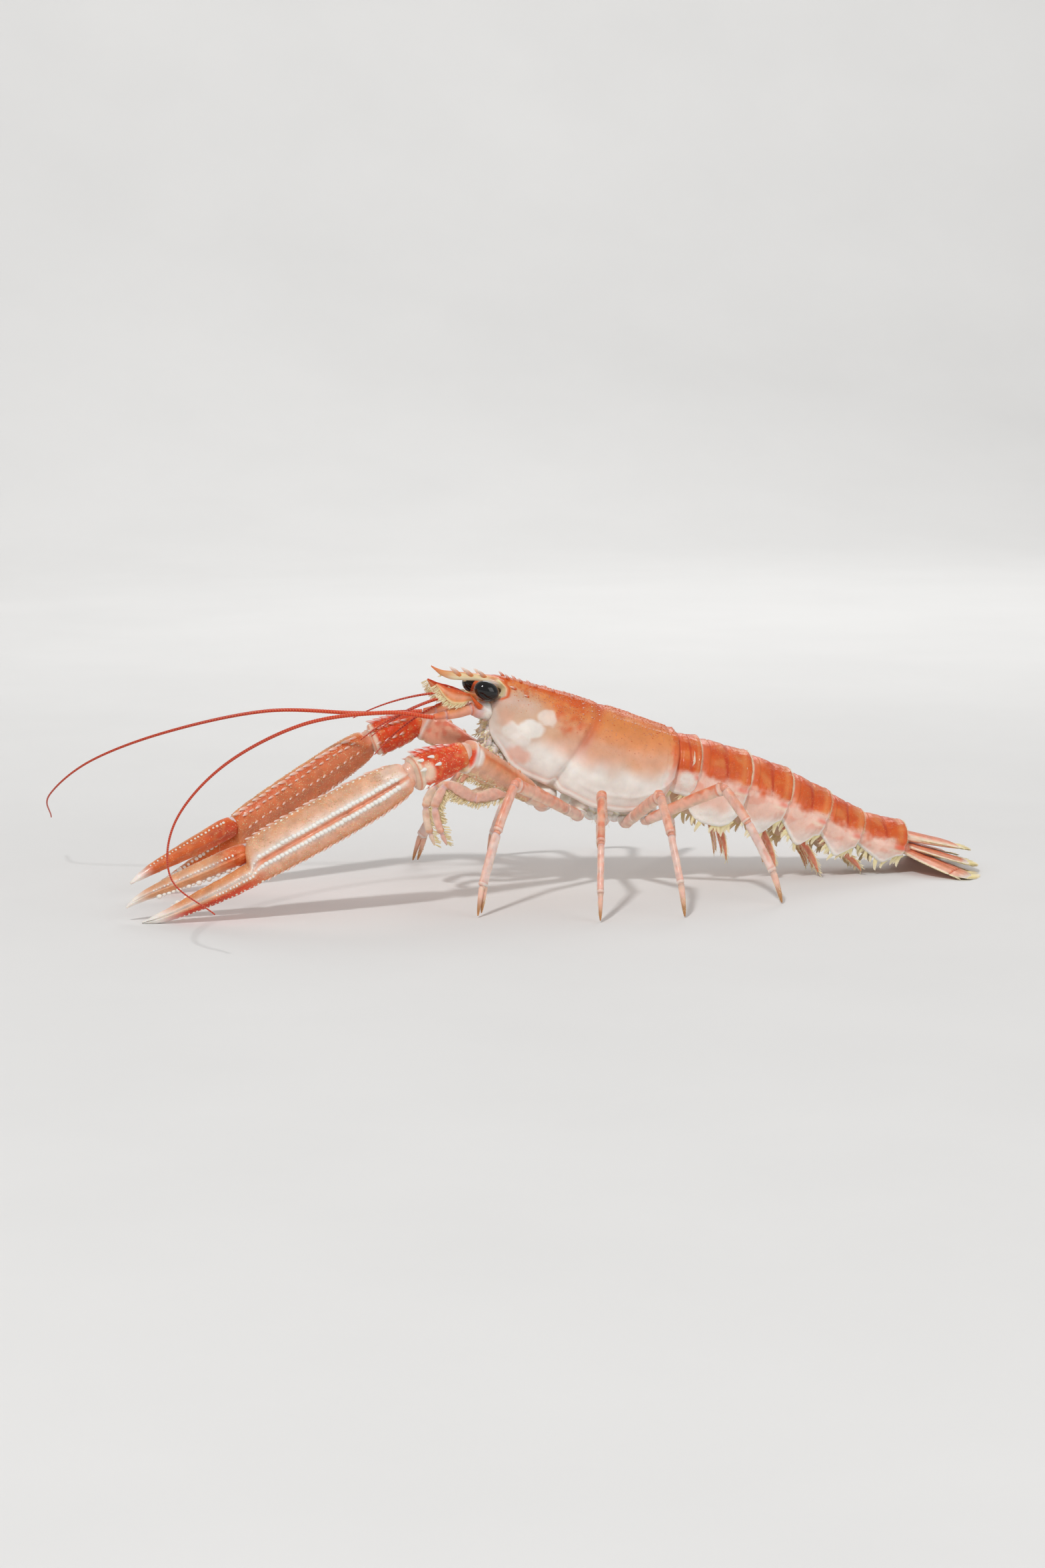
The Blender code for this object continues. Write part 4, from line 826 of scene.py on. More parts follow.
def prickle(spines, name, slot, bend=0.3, sides=8, fullness=0.6):
    """The spines of a piece, at the length that the panel gives."""
    spines.rows = [np.vstack(spines.rows)]
    spines.rows[0][:, 11] *= sizes().spine_length
    return spines.make(name, "thorns", "spine", slot, Sides=sides, Steps=5, Bend=bend, Fullness=fullness)


# Head shield.

def shield(aft, turn):
    """Points of the head shield at distances aft and turns from its top line, with the drop of each."""
    top, half, margin, _ = smooth_rows(CARAPACE, aft)[:, None].transpose(2, 0, 1)
    aft = aft[:, None]
    drop = (1 - np.cos(turn)) / (1 - math.cos(ARCH_TURN)) + 0 * aft
    groove = GROOVE_DEPTH * bump(aft, GROOVE_AFT - GROOVE_LEAN * drop, GROOVE_WIDTH)
    shrink = 1 - groove / half
    out = half * np.sin(turn) * shrink
    up = top - (top - margin) * drop * shrink - groove * 0.5
    return out, up, aft + 0 * up, drop, groove


def notch(aft, up):
    """How far the front edge is drawn aft, which makes the orbit."""
    return smooth_rows(FRONT_EDGE, up)[..., 0] * step(aft, -2.6, -0.9) * (1 - step(aft, 0.6, 9))


def lobes(aft, up, size, soft):
    """The milky lobes that show through the shell behind the eye."""
    patches = ((14.3, -11, 6.4, 4.6, 1), (19.2, -5.6, 4.6, 4, 0.6), (7.6, -13.4, 4.2, 4.4, 0.9),
               (11.5, -15.6, 4.6, 3.2, 0.8))
    return np.clip(sum(blob(aft, up, (x, y), (wide * size, tall * size), soft) * strength
                       for x, y, wide, tall, strength in patches), 0, 1)


def shield_paint(aft, up, drop, edge, rings, groove):
    """Colours and graininess over the head shield."""
    rough = cloud(rings, 7, 1)
    fine = cloud(rings, 2.2, 2)
    x, y = aft + rough * 1.2, up + fine * 0.8
    side = step(drop + fine * 0.04, 0.1, 0.42)
    low = step(drop + rough * 0.05, 0.42, 0.72)
    layers = [
        ("amber", step(drop + rough * 0.06, 0.02, 0.1)),
        ("sand", side * 0.6),
        ("ivory", low),
        ("blush", 0.3 * blob(x, y, (36, -13), (14, 7)) + 0.35 * blob(x, y, (60, -9), (12, 6))),
        ("amber", 0.75 * blob(x, y, (52, -4), (20, 6)) * (1 - low)),
        ("back", blob(x, y, (27.5, -1.5), (8, 7.5), 0.5) * (0.45 + 0.45 * fine)),
        ("sand", blob(x, y, (7.5, -3), (10, 4.5), 0.5) * 0.9),
        ("lilac", blob(x, y, (7, -4.5), (9, 3.5), 0.6) * 0.35),
        ("back", blob(x, y, (9, 2.2), (6, 1.4)) * 0.6 * step(fine, -0.2, 0.4)),
        ("sand", blob(x, y, (11.5, -9.5), (12, 6.5), 0.5) * 0.75),
        ("ivory", lobes(aft + rough * 0.9, up + fine * 0.5, 0.72, 0.2) * 0.9),
        ("blush", blob(x, y, (12, -21.5), (4, 3.2)) * 0.6 + blob(x, y, (5, -9), (3, 3)) * 0.35),
        ("blush", bump(edge, 2.3, 0.35) * step(aft, 2, 8) * 0.35),
        ("ember", np.clip(groove / GROOVE_DEPTH, 0, 1) * 0.5 * (1 - low)),
        ("back", step(aft + fine, 69.5, 71.5) * 0.8 * (1 - 0.6 * low)),
        ("ivory", step(edge, 1.5, 0.9) * step(aft, 1, 4)),
        ("back", bump(aft, 1, 0.9) * step(up, -4.5, -2.5) * step(drop, 0.02, 0.08)),
        ("straw", bump(aft, -1, 0.7) * step(drop, 0.1, 0.3)),
        ("straw", step(aft, -2.5, -6) * 0.7),
        ("back", step(aft, -2, -5) * bump(drop, 0, 0.1) * 0.75),
        ("amber", step(aft, -15, -22) * 0.8), ("back", step(aft, -21, -25.5) * 0.6),
    ]
    grain = np.clip(1 - 1.6 * drop, 0, 1) * step(aft, -8, 2) + 0.4 * blob(x, y, (27, -2), (9, 7))
    return paint(aft, "back", *layers), np.clip(grain - lobes(aft, up, 1.1, 0.3), 0, 1)


def carapace():
    """The head shield with its beak, keels, groove, orbit notch and rolled rim."""
    aft = np.concatenate((np.linspace(-26.2, -3.1, 56), np.linspace(-2.9, 3, 38), np.linspace(3.4, 73, 150)))
    k = np.linspace(-1, 1, 161)
    turn = ARCH_TURN * np.sign(k) * (1 - (1 - np.abs(k)) ** 1.2)
    out, up, back, drop, groove = shield(aft, turn)
    _, half, margin, roof = smooth_rows(CARAPACE, aft).T
    edge = half * math.sin(ARCH_TURN)
    inner = edge - np.minimum(SHELL_WALL, edge * 0.3)
    walls = [(0.5 * (edge + inner), margin - 0.15 * np.minimum(SHELL_WALL, edge * 0.3))]
    walls += [(inner * share, margin + (roof - margin) * lift)
              for share, lift in ((1, 0.1), (0.97, 0.4), (0.9, 0.7), (0.5, 0.95), (0, 1))]
    out, up = closed_inside(out, up, walls)
    back = np.broadcast_to(aft[:, None], out.shape)
    rings = at(back + notch(back, up), out, up)
    n = len(k)
    far = from_rim(rings[:, :n])
    wide = np.abs(turn)[None]
    a = aft[:, None]
    height = 0.5 * bump(wide, KEEL_TURN, 0.07) * step(a, -3, 2) * (1 - step(a, 33, 39))
    height += 0.4 * bump(wide, 0, 0.05) * step(a, 43, 47) + 0.3 * bump(wide, LOW_KEEL_TURN, 0.06) * step(a, 44, 50)
    height += 0.3 * bump(far, 0.8, 0.8) * step(a, 2, 6) - 0.12 * bump(far, 2.5, 0.8) * step(a, 2, 6)
    height += 0.3 * bump(far, 6.6, 0.9) * step(a, 34, 42) + 0.35 * bump(a, 71.6, 0.9) - 0.3 * bump(a, 69.6, 0.8)
    height += 0.3 * bump(a, 0.9, 0.7) * step(up[:, :n], -6, -4) * step(drop, 0.03, 0.1)
    height += 0.16 * cloud(rings[:, :n], 6, 3) * step(a, 0, 4)
    height += 0.3 * lobes(a + 0 * up[:, :n], up[:, :n], 0.8, 0.45)
    rings = raise_by(rings, widen(height, rings))
    tint, grain = shield_paint(a + 0 * up[:, :n], up[:, :n], drop, far, rings[:, :n], groove)
    skin = Skin()
    skin.add(rings, np.concatenate((tint, paint(out[:, n:], "cream")), 1), widen(grain, rings))
    skin.make("carapace_shell", "back", "shell_orange", "carapace")
    shield_spines(aft, turn, rings[:, :n], grain, drop)


def shield_spines(aft, turn, surface, grain, drop):
    """Spines of beak and keels, and the raised granules of the back."""
    centre = surface.mean(axis=1, keepdims=True)
    normals = unit(np.cross(np.gradient(surface, axis=1), np.gradient(surface, axis=0)))
    normals *= np.sign((normals * (surface - centre)).sum(-1, keepdims=True))
    ahead = way(0, 15)
    roots = Scatter()

    def spine(where, angle, length, width, forward, depth=0, tint="back", aim=None, sunk=0.25):
        """One spine at a distance aft and a turn from the top line."""
        i, j = np.abs(aft - where).argmin(), np.abs(turn - angle).argmin()
        aim = unit(normals[i, j] * (1 - forward) + ahead * forward if aim is None else aim)
        roots.add(surface[i, j] - aim * sunk, aim, ahead, (width, depth or width, length), tint=tint)

    for side in (-1, 1):
        for k, where in enumerate(KEEL_SPINES):
            spine(where, side * KEEL_TURN, 3 - 0.25 * k, 1.4 - 0.08 * k, 0.4)
        for where in (*BEAK_SPINES, -6):
            spine(where, side * BEAK_TURN, 4.9, 2.2, 0, 1.2, "amber", ahead * 0.7 + (0, side * 0.3, 0.9), 1.3)
        spine(4.6, side * math.radians(38), 2.8, 1.2, 0.62)
        spine(11, side * math.radians(42), 2, 1, 0.62)
        for k in range(9):
            spine(33.5 + 3.4 * (k % 3), side * math.radians(24 + 9 * (k // 3)), 0.9, 0.7, 0.5)
        for where in np.arange(45, 69, 1.5):
            spine(where, side * 0.035, 0.75, 0.55, 0.45)
            spine(where + 0.7, side * LOW_KEEL_TURN, 0.7, 0.5, 0.45)
    for where, low, length in ((-21.6, -0.1, 1.5), (-11.8, 0.3, 1.3)):
        roots.add(at(where, 0, low), unit(ahead - (0, 0, 0.75)), ahead, (0.8, 0.7, length))
    prickle(roots, "carapace_spines", "shell_orange", 0.45, 8, 0.75)

    rng = np.random.default_rng(11)
    weight = (grain ** 2) * step(aft, 1, 4)[:, None] * (0.25 + bump(drop, 0.05, 0.2)) * np.gradient(aft)[:, None]
    chosen = rng.choice(weight.size, sizes().granules, replace=False, p=(weight / weight.sum()).ravel())
    i, j = np.unravel_index(chosen, weight.shape)
    size = rng.uniform(0.25, 0.55, (len(i), 1)) * (1, 1, 0.9)
    tints = tone("back") + (tone("cream") - tone("back")) * rng.uniform(0, 0.45, (len(i), 1))
    beads = Scatter()
    beads.add(surface[i, j], normals[i, j], ahead, size, tint=tints)
    beads.make("carapace_granules", "beads", "grit", "shell_orange", Sides=6, Rings=4)


# Body floor and mouth.

def head_floor():
    """The plate that carries the legs, and the jaws, palps and blades of the mouth."""
    aft = np.linspace(0.6, 72.6, 120)
    half, plate = smooth_rows(STERNUM, aft).T
    _, width, margin, roof = smooth_rows(CARAPACE, aft).T
    edge = width * math.sin(ARCH_TURN)
    inner = edge - np.minimum(SHELL_WALL, edge * 0.3) - 0.3
    shoulder = margin + (roof - margin) * 0.7 - 0.3
    low = np.minimum(half, inner * 0.85)
    corner = [(0 * aft, roof - 0.45), (inner * 0.88, shoulder - 0.2), (inner * 0.84, np.maximum(plate + 3, margin)),
              (low, plate), (0 * aft, plate - 0.3)]
    ring = np.array(corner + [(-x, z) for x, z in corner[1:-1][::-1]])
    places = np.linspace(0, 8, 48, endpoint=False)
    before, share = places.astype(int), (places % 1)[:, None, None]
    out, up = (ring[before] * (1 - share) + ring[(before + 1) % 8] * share).transpose(1, 2, 0)
    rings = at(aft[:, None], out, up)
    hips = [row[0][0] for row in LEGS.values()] + [CHELIPED_HIP[0]]
    dip = -0.7 * sum(bump(aft[:, None], hip, 2.6) for hip in hips) * step(up, plate[:, None] + 3, plate[:, None])
    rings = raise_by(rings, np.minimum(dip, 0))
    skin = Skin()
    # The belly tone over the upper parts, in the hollow under the head shield, is painted shade.
    tint = paint(out, "cream", ("lilac", step(dip, -0.2, -0.6) * 0.8), ("belly", step(up, -18, -8) * 0.5))
    skin.add(rings, tint, 0.2)
    hairs = Scatter()
    rng = np.random.default_rng(5)
    for side in SIDES.values():
        for kind, rows in MOUTH_LIMBS.items():
            rings, place, along = tube(body_points(rows), [r[3:] for r in rows], LEVEL, 18, 0.5)
            share = along / along[-1]
            joint = sum(bump(place, k, 0.12) for k in range(1, len(rows) - 1))
            rings = raise_by(rings, 0.12 * joint + 0 * rings[..., 0])
            tint = paint(rings, "ivory" if kind == "jaw" else "cream",
                         ("blush", step(share, 0.3, 0.9) * (0.8 if kind != "jaw" else 0.2)), ("amber", joint * 0.35))
            skin.add(rings, tint, 0.2, side)
            if kind != "jaw":
                tuft(hairs, rng, rings, range(len(rings) // 3, len(rings)), range(9, 18), 90, (0.09, 0.09, 2.4), side,
                     way(0, -55), loose=0.35, lean=way(0, 0))
        for aft_at, out_at, up_at, width, lean in MOUTH_LOBES:
            t = np.linspace(-1, 1, 4)
            marks = at(aft_at - 1.2 * t * t - 0.5 * t, out_at + 0.7 * t, up_at - lean * t)
            rings, place, _ = tube(marks, [(width * w, width * 0.8 * w) for w in (0.55, 1, 0.95, 0.4)], LEVEL, 26, 0.3)
            rings = raise_by(rings, 0.45 * cloud(rings, 1.7, 12) - 0.25 * bump(place, 1.6, 0.15))
            rough = cloud(rings, 1.2, 13)
            tint = paint(rings, "ivory", ("blush", step(rough, 0.2, 0.8) * 0.5),
                         ("lilac", step(rough, -0.1, -0.7) * 0.5), ("tan", step(place, 2.5, 3) * 0.5))
            skin.add(rings, tint, 0.2, side)
            tuft(hairs, rng, rings, range(len(rings) // 2, len(rings)), 26, 22, (0.09, 0.09, 2), side, way(0, -40),
                 loose=0.4, lean=way(0, 0))
    skin.make("head_floor", "mouth", "mouth_cream", "thorax")
    comb(hairs, "mouth_hairs", "mouth_cream", 5.0, 4)


# Eyes and feelers.

def eyes():
    """Glossy black kidney-shaped eyes on short orange stalks."""
    for name, side in SIDES.items():
        ball, stalk = Skin(), Skin()
        x = np.sin(np.linspace(-1, 1, 34) * math.pi / 2)[1:-1]
        bend = -1.1 * (x * x / 4 - 0.12)
        points = at(*EYE_AT) + np.outer(x * EYE_LENGTH / 2, way(180, -27)) + np.outer(bend, way(180, 63))
        thick = np.sqrt(1 - x * x) * EYE_HEIGHT
        ball.add(sweep(points, oval(thick, thick, 40), LEVEL), tone("night"), 0, side, 0.12)
        ball.make(f"eyeball_{name}", "eye", "eye_black", f"eye_{name}")
        marks = body_points(((-3.4, 2.6, -1.1), (-3.8, 4.6, -1.3), (-4.6, 6.6, -1.5), (-5.2, 8, -1.5)))
        rings, _, along = tube(marks, ((2.8, 2.8), (3.8, 3.6), (5.4, 5.2), (6.6, 6.2)), (0, 0, 1), 28, 0.4)
        share = along / along[-1]
        tint = paint(rings, "back", ("straw", bump(share, 0.1, 0.2)), ("ember", step(share, 0.7, 1) * 0.6))
        stalk.add(rings, tint, 0.2, side)
        stalk.make(f"eye_stalk_{name}", "limb", "shell_orange")


def lashes(name, paths, root, end, ring, slot, *nodes, relief=0.12, side=1):
    """Ringed feelers along the paths, as one piece."""
    points = np.vstack(paths) * np.array((1, side, 1)) * MM
    edges, first = [], 0
    for path in paths:
        edges += [(first + k, first + k + 1) for k in range(len(path) - 1)]
        first += len(path)
    mesh = bpy.data.meshes.new(name)
    mesh.from_pydata(points.tolist(), edges, [])
    piece = grown(name, mesh, "lash", "feeler", {
        "Sides": 10, "Root": root * MM, "End": end * MM, "Ring": ring * MM, "Relief": relief})
    settle(piece, slot, *nodes)


def antennules():
    """The small feelers: three short joints, two thin lashes and tufts at the joints."""
    for name, side in SIDES.items():
        lean = 3 if name == "left" else -2
        root, along_way = at(-0.4, 2.5, -3.9), way(5, 8)
        skin, hairs = Skin(), Scatter()
        rng = np.random.default_rng(21)
        for low, high, width, height in ((0, 5.8, 2.7, 3.1), (5.6, 10.3, 2.3, 2.6), (10.1, 15.2, 1.9, 2.1)):
            marks = root + np.outer((low, low + 0.5, (low + high) / 2, high - 0.6, high), along_way)
            table = [(width * w, height * w) for w in (0.7, 0.9, 0.92, 1.04, 0.8)]
            rings, _, along = tube(marks, table, LEVEL, 18, 0.4)
            share = along / along[-1]
            tint = paint(rings, "amber", ("blush", step(share, 0.5, 0.1)), ("back", bump(share, 0.9, 0.1) * 0.7))
            skin.add(rings, tint, 0.2, side)
            tuft(hairs, rng, rings, [len(rings) - 3], 18, 26, (0.1, 0.1, 2.2), side, along=0.6, loose=0.4)
        skin.make(f"antennule_base_{name}", "limb", "feeler_red")
        comb(hairs, f"antennule_hairs_{name}", "feeler_red", 4.0, 4)
        paths = []
        for out, lift, fall in ((10, 0.35, -4 - lean), (3, -0.35, -15 - lean)):  # outer and inner lash
            point = root + along_way * 13.6 + (0, 0, lift)
            marks = []
            for k in range(9):
                marks.append(point)
                point = point + way(out + k * 1.5, fall - k * 3.6) * 5
            paths.append(smooth_route(marks, 1)[0])
        lashes(f"antennule_lashes_{name}", paths, 0.55, 0.2, 0.8, "feeler_red", f"antennule_{name}", side=side)


def antennae():
    """The long feelers: jointed base with its spine, leaf-like scale and ringed lash."""
    for name, side in SIDES.items():
        skin, hairs = Skin(), Scatter()
        rng = np.random.default_rng(31)
        rings, p, _ = tube(body_points(PEDUNCLE), [(row[3], row[3]) for row in PEDUNCLE], LEVEL, 30, 0.4)
        angle = np.sin(turns(30))[None]
        creases = bump(p, 3.55, 0.22) + bump(p, 6.75, 0.2)
        rings = raise_by(rings, 0.2 * bump(p, 3.1, 0.25) + 0.18 * bump(p, 6.4, 0.25) - 0.35 * creases + 0 * angle)
        tint = paint(rings, "blush", ("ivory", step(p, 2.6, 1)), ("lilac", bump(p, 2.2, 0.6) * 0.6),
                     ("amber", step(p, 3.8, 5.2) * step(angle, -0.2, 0.5) * 0.8), ("coral", step(p, 6.5, 8) * 0.7),
                     ("back", (bump(p, 3.2, 0.18) + bump(p, 6.5, 0.18)) * 0.8), ("lilac", creases * 0.6))
        skin.add(rings, tint, 0.25, side)
        marks = body_points(((-5.2, 8, -8.3), (-7.6, 9.5, -7), (-9.6, 10.3, -5.6), (-11.6, 10.9, -4.1)))
        rings, _, along = tube(marks, ((2.7, 2.7), (1.9, 1.9), (1.1, 1.1), (0.25, 0.25)), LEVEL, 16, 0.3)
        skin.add(rings, paint(rings, "back", ("ivory", step(along, 2, 0))), 0.1, side)
        skin.make(f"antenna_joints_{name}", "limb", "leg_pink", f"antenna_base_{name}")

        leaf = Skin()
        rings, p, _ = tube(body_points(SCALE), [row[3:] for row in SCALE], (0, 0.5, -0.86), 40, 0.35, 2.2)
        wide = np.cos(turns(40)) + 0 * p
        rings = raise_by(rings, 0.22 * bump(wide, -0.86, 0.2) + 0.12 * bump(wide, 0, 0.12))
        tint = paint(rings, "amber", ("back", step(wide, 0.1, -0.6)), ("crimson", step(wide, -0.72, -0.95) * 0.8),
                     ("blush", bump(wide, 0.1, 0.35) * 0.6), ("straw", step(wide, 0.6, 0.98) * 0.8))
        leaf.add(rings, tint, 0.3, side)
        leaf.make(f"antenna_leaf_{name}", "limb", "shell_orange", f"antenna_scale_{name}")
        tuft(hairs, rng, rings, range(len(rings) // 6, len(rings)), range(-2, 3), 150, (0.1, 0.1, 2.5), side,
             way(0, -42), loose=0.18, lean=way(0, 0))
        comb(hairs, f"antenna_hairs_{name}", "shell_orange", 3.0, 4)
        last, end = (at(*row[:3]) for row in PEDUNCLE[-2:])
        tip = end + unit(end - last) * 0.6
        path = smooth_route([tip] + [tip + np.array(s) for s in FLAGELLUM[name]], 1)[0]
        lashes(f"antenna_lash_{name}", [path], *FLAGELLUM_THICK, RING_STEP, "feeler_red", f"antenna_lash_root_{name}",
               f"antenna_lash_tip_{name}", relief=0.09, side=side)


# Limbs.

SEGMENT = ((0, 0.6), (0.02, 0.78), (0.05, 0.9), (0.12, 0.93), (0.4, 0.97), (0.7, 1), (0.9, 1), (0.955, 1.07),
           (0.985, 1.06), (1, 0.84))  # share of a limb piece's length, and of its thickness


def segment(start, along_way, length, width, height, across, sides=24, squareness=2.1, bow=0, rows=SEGMENT):
    """Rings of one straight limb piece: a narrow root, a long body and a flared far rim."""
    s = np.linspace(0, 1, max(int(length * 2), 8) + 1)
    swell = smooth_rows(rows, s)[:, 0]
    upward = unit(np.cross(along_way, across))
    upward = upward * (1 if upward[2] >= 0 else -1)
    points = start + np.outer(s * length, along_way) + np.outer(bow * np.sin(s * math.pi), upward)
    outlines = oval(np.interp(s, (0, 1), np.atleast_1d(width)[[0, -1]]) * swell,
                    np.interp(s, (0, 1), np.atleast_1d(height)[[0, -1]]) * swell, sides, squareness)
    angle = turns(sides)
    return sweep(points, outlines, across), s[:, None], np.cos(angle)[None], np.sin(angle)[None]


def joint_skin(skin, centre, axis, width, height, side, colour="blush"):
    """Soft folded skin that fills a joint."""
    s = np.linspace(-1, 1, 15)
    size = np.sqrt(np.maximum(1 - (s * 0.97) ** 2, 0.02)) * (1 + 0.03 * np.cos(s * 16))
    points = centre + np.outer(s * width * 0.5, axis)
    across = unit(np.cross(axis, (0, 0, 1)))
    rings = sweep(points, oval(width * size, height * size, 20), across)
    folds = (0.5 + 0.5 * np.cos(s * 16))[:, None]
    skin.add(rings, paint(rings, colour, ("cream", 0.25), ("lilac", folds * 0.2)), 0, side)


def hip(skin, hairs, marks, radius, side, rng):
    """The glossy hip joint, pale with grey spots, an orange rim and thin hairs."""
    table = [(radius * w, radius * w * 1.05) for w in (1.5, 2, 1.9, 1.25)]
    rings, p, _ = tube(body_points(marks), table, (1, 0, 0), 26, 0.4)
    spots = step(cloud(rings, 1.9, 4), 0.25, 0.6)
    height = 0.3 * bump(p, 1.1, 0.3) - 0.45 * bump(p, 1.6, 0.14) + 0.35 * bump(p, 1.95, 0.2)
    rings = raise_by(rings, height + 0.12 * cloud(rings, 1.8, 6))
    grey = step(cloud(rings, 1.5, 5), 0.1, 0.5) * bump(p, 1.9, 0.5)
    tint = paint(rings, "ivory", ("belly", spots * 0.25), (np.array((0.36, 0.32, 0.3)), grey * 0.45),
                 ("belly", step(p, 0.8, 0) * 0.7), ("blush", step(p, 2.4, 3) * 0.6),
                 ("straw", bump(p, 1.6, 0.08) * 0.5))
    skin.add(rings, tint, 0.1, side)
    tuft(hairs, rng, rings, range(len(rings) // 3, len(rings) - 2), 26, 16, (0.07, 0.07, 2), side, (0, 0.4, -0.8),
         loose=0.5, lean=way(0, 0))


def toe(skin, start, along_way, length, width, across, side, bend, warm, aside=0):
    """A curved toe with a worn tan tip."""
    s = np.linspace(0, 1, 22)
    down = unit(np.cross(along_way, across))
    down = down * (-1 if down[2] > 0 else 1)
    points = start + np.outer(s * length, along_way) + np.outer(bend * s * s - bend * s, down) + down * aside
    size = smooth_rows(((0, 0.75), (0.06, 1), (0.5, 0.8), (0.9, 0.42), (1, 0.2)), s)[:, 0] * width
    rings = sweep(points, oval(size, size * 1.15, 16), across)
    tint = paint(rings, "blush", ("ivory", 0.35), ("amber", warm * 0.3), ("tan", step(s, 0.3, 0.85)[:, None]))
    skin.add(rings, tint, 0.1, side)
    return rings


def limb_paint(rings, s, above, warm, seed, pale=0.15):
    """Pink shell with an orange upper stripe, a pale belly and orange at the far rim."""
    speck = cloud(rings, 2.6, seed)
    stripe = step(above + 0.35 * speck, 0.25, 0.85)
    return paint(rings, "blush", ("ivory", pale), ("lilac", pale * 0.35),
                 ("cream", step(above + 0.3 * speck, -0.2, -0.9) * 0.45),
                 ("amber", np.clip(0.35 + warm, 0, 1) * stripe * 0.7 * (1 - 0.5 * pale)),
                 ("coral", bump(above, 0.75, 0.2) * step(speck, -0.3, 0.5) * 0.5 * (1 - pale)),
                 ("flame", np.clip(warm, 0, 1) * step(stripe * (0.6 + 0.5 * speck), 0.3, 0.9) * 0.7),
                 ("coral", step(cloud(rings, 4, seed + 1), 0, 0.7) * 0.3 * (1 - pale)),
                 ("ivory", bump(s, 0.955, 0.02) * 0.5), ("back", bump(s, 0.925, 0.018) * 0.7 * (1 - pale)),
                 ("lilac", step(s, 0.06, 0) * 0.7))


def walking_leg(pair, name):
    """One walking leg from its hip to its toe."""
    side, (start, coxa, out, rise, (merus, carpus, propodus, dactyl)) = SIDES[name], LEGS[pair]
    out += LEG_SWING[name][pair - 2]
    root = at(*start)
    upward = way(out, rise + LEG_FOLD[name][pair - 2])
    knee = root + upward * merus
    low, high = 5, 85
    for _ in range(40):
        fall = (low + high) / 2
        drops = [math.sin(math.radians(fall + lean)) for lean in LOWER_LEG_CURVE]
        reach = sum(n * drop for n, drop in zip((carpus, propodus, dactyl), drops))
        low, high = (fall, high) if reach < knee[2] - 0.25 else (low, fall)
    ways = [way(out, -(fall + lean)) for lean in LOWER_LEG_CURVE]
    across = unit((upward[1], -upward[0], 0))
    ankle = knee + ways[0] * carpus
    foot = ankle + ways[1] * propodus
    warm = (0.3 if name == "left" else 0.75) + (0, 0.22, 0, 0.12)[pair - 2]
    rng = np.random.default_rng(pair * 7 + side)
    skin, hairs = Skin(), Scatter()
    aft, hip_out, hip_up = start
    sternum = float(smooth_rows(STERNUM, aft)[1])
    hip(skin, hairs, ((aft, 5.8, sternum + 1), (aft, 6.6, sternum * 0.55 + hip_up * 0.45), (aft, 7.4, hip_up + 0.8),
                      (aft, hip_out, hip_up - 1.2)), coxa, side, rng)
    seed = pair * 3 + (side > 0)
    broad = 1.35 if pair == 2 else 1
    parts = (
        (root, upward, 9.2, (4.1, 3.7), (4.3, 4.2), 0),
        (root + upward * 8.8, upward, merus - 9.3, (3.9, 3.8), (4.9, 4.7), 0.3),
        (knee + ways[0] * 0.5, ways[0], carpus - 0.9, (3.4, 3.1), (4.2, 3.8), 0.25),
        (ankle + ways[1] * 0.3, ways[1], propodus - 0.5, (2.9, 2.6), (3.5 * broad, 3.2 * broad), 0.15))
    for k, (start, direction, length, width, height, bow) in enumerate(parts):
        rings, s, x, z = segment(start, direction, length, width, height, across, bow=bow)
        rings = raise_by(rings, -0.16 * bump(x, 0.9, 0.18) * step(s, 0.05, 0.2) + 0.07 * cloud(rings, 3, seed)
                         + (0.4 * bump(s, 0.975, 0.02) * step(z, 0.2, 0.9) if k == 1 else 0))
        skin.add(rings, limb_paint(rings, s, z, warm * (1, 1, 0.9, 0.4)[k], seed + k, (0.35, 0.12, 0.3, 0.6)[k]),
                 0.35 * warm + 0.15, side, 0.08)
        tuft(hairs, rng, rings, range(3, len(rings) - 2), 24, int(length * (2 if k else 0.8)), (0.05, 0.05, 0.75), side,
             out=0.6, along=0.7, loose=0.05)
    joint_skin(skin, root + upward * 9.1, upward, 3.2, 3.6, side)
    joint_skin(skin, knee, unit(upward + ways[0]), 3.4, 3.5, side, "coral")
    joint_skin(skin, ankle, unit(ways[0] + ways[1]), 2.6, 2.9, side, "coral")
    joint_skin(skin, foot, ways[1], 2.2, 2.5, side)
    end = ways[2]
    if pair < 4:
        toe(skin, foot - ways[1] * 0.2, end, dactyl - 0.15, 1.9, across, side, 0.5, warm, -0.6)
        rings = toe(skin, foot - ways[1] * 1.2, end, dactyl - 0.4, 1.9, across, side, -0.3, warm, 1.2)
    else:
        rings = toe(skin, foot - ways[1] * 0.3, end, dactyl, 2.3, across, side, 0.9, warm)
    tuft(hairs, rng, rings, range(2, len(rings) - 4), 16, 48, (0.07, 0.07, 1.15), side, along=1, loose=0.35)
    skin.make(f"walking_leg_{pair}_{name}", "limb", "leg_pink", f"leg_{pair}_upper_{name}", f"leg_{pair}_lower_{name}")
    comb(hairs, f"leg_hairs_{pair}_{name}", "leg_pink")


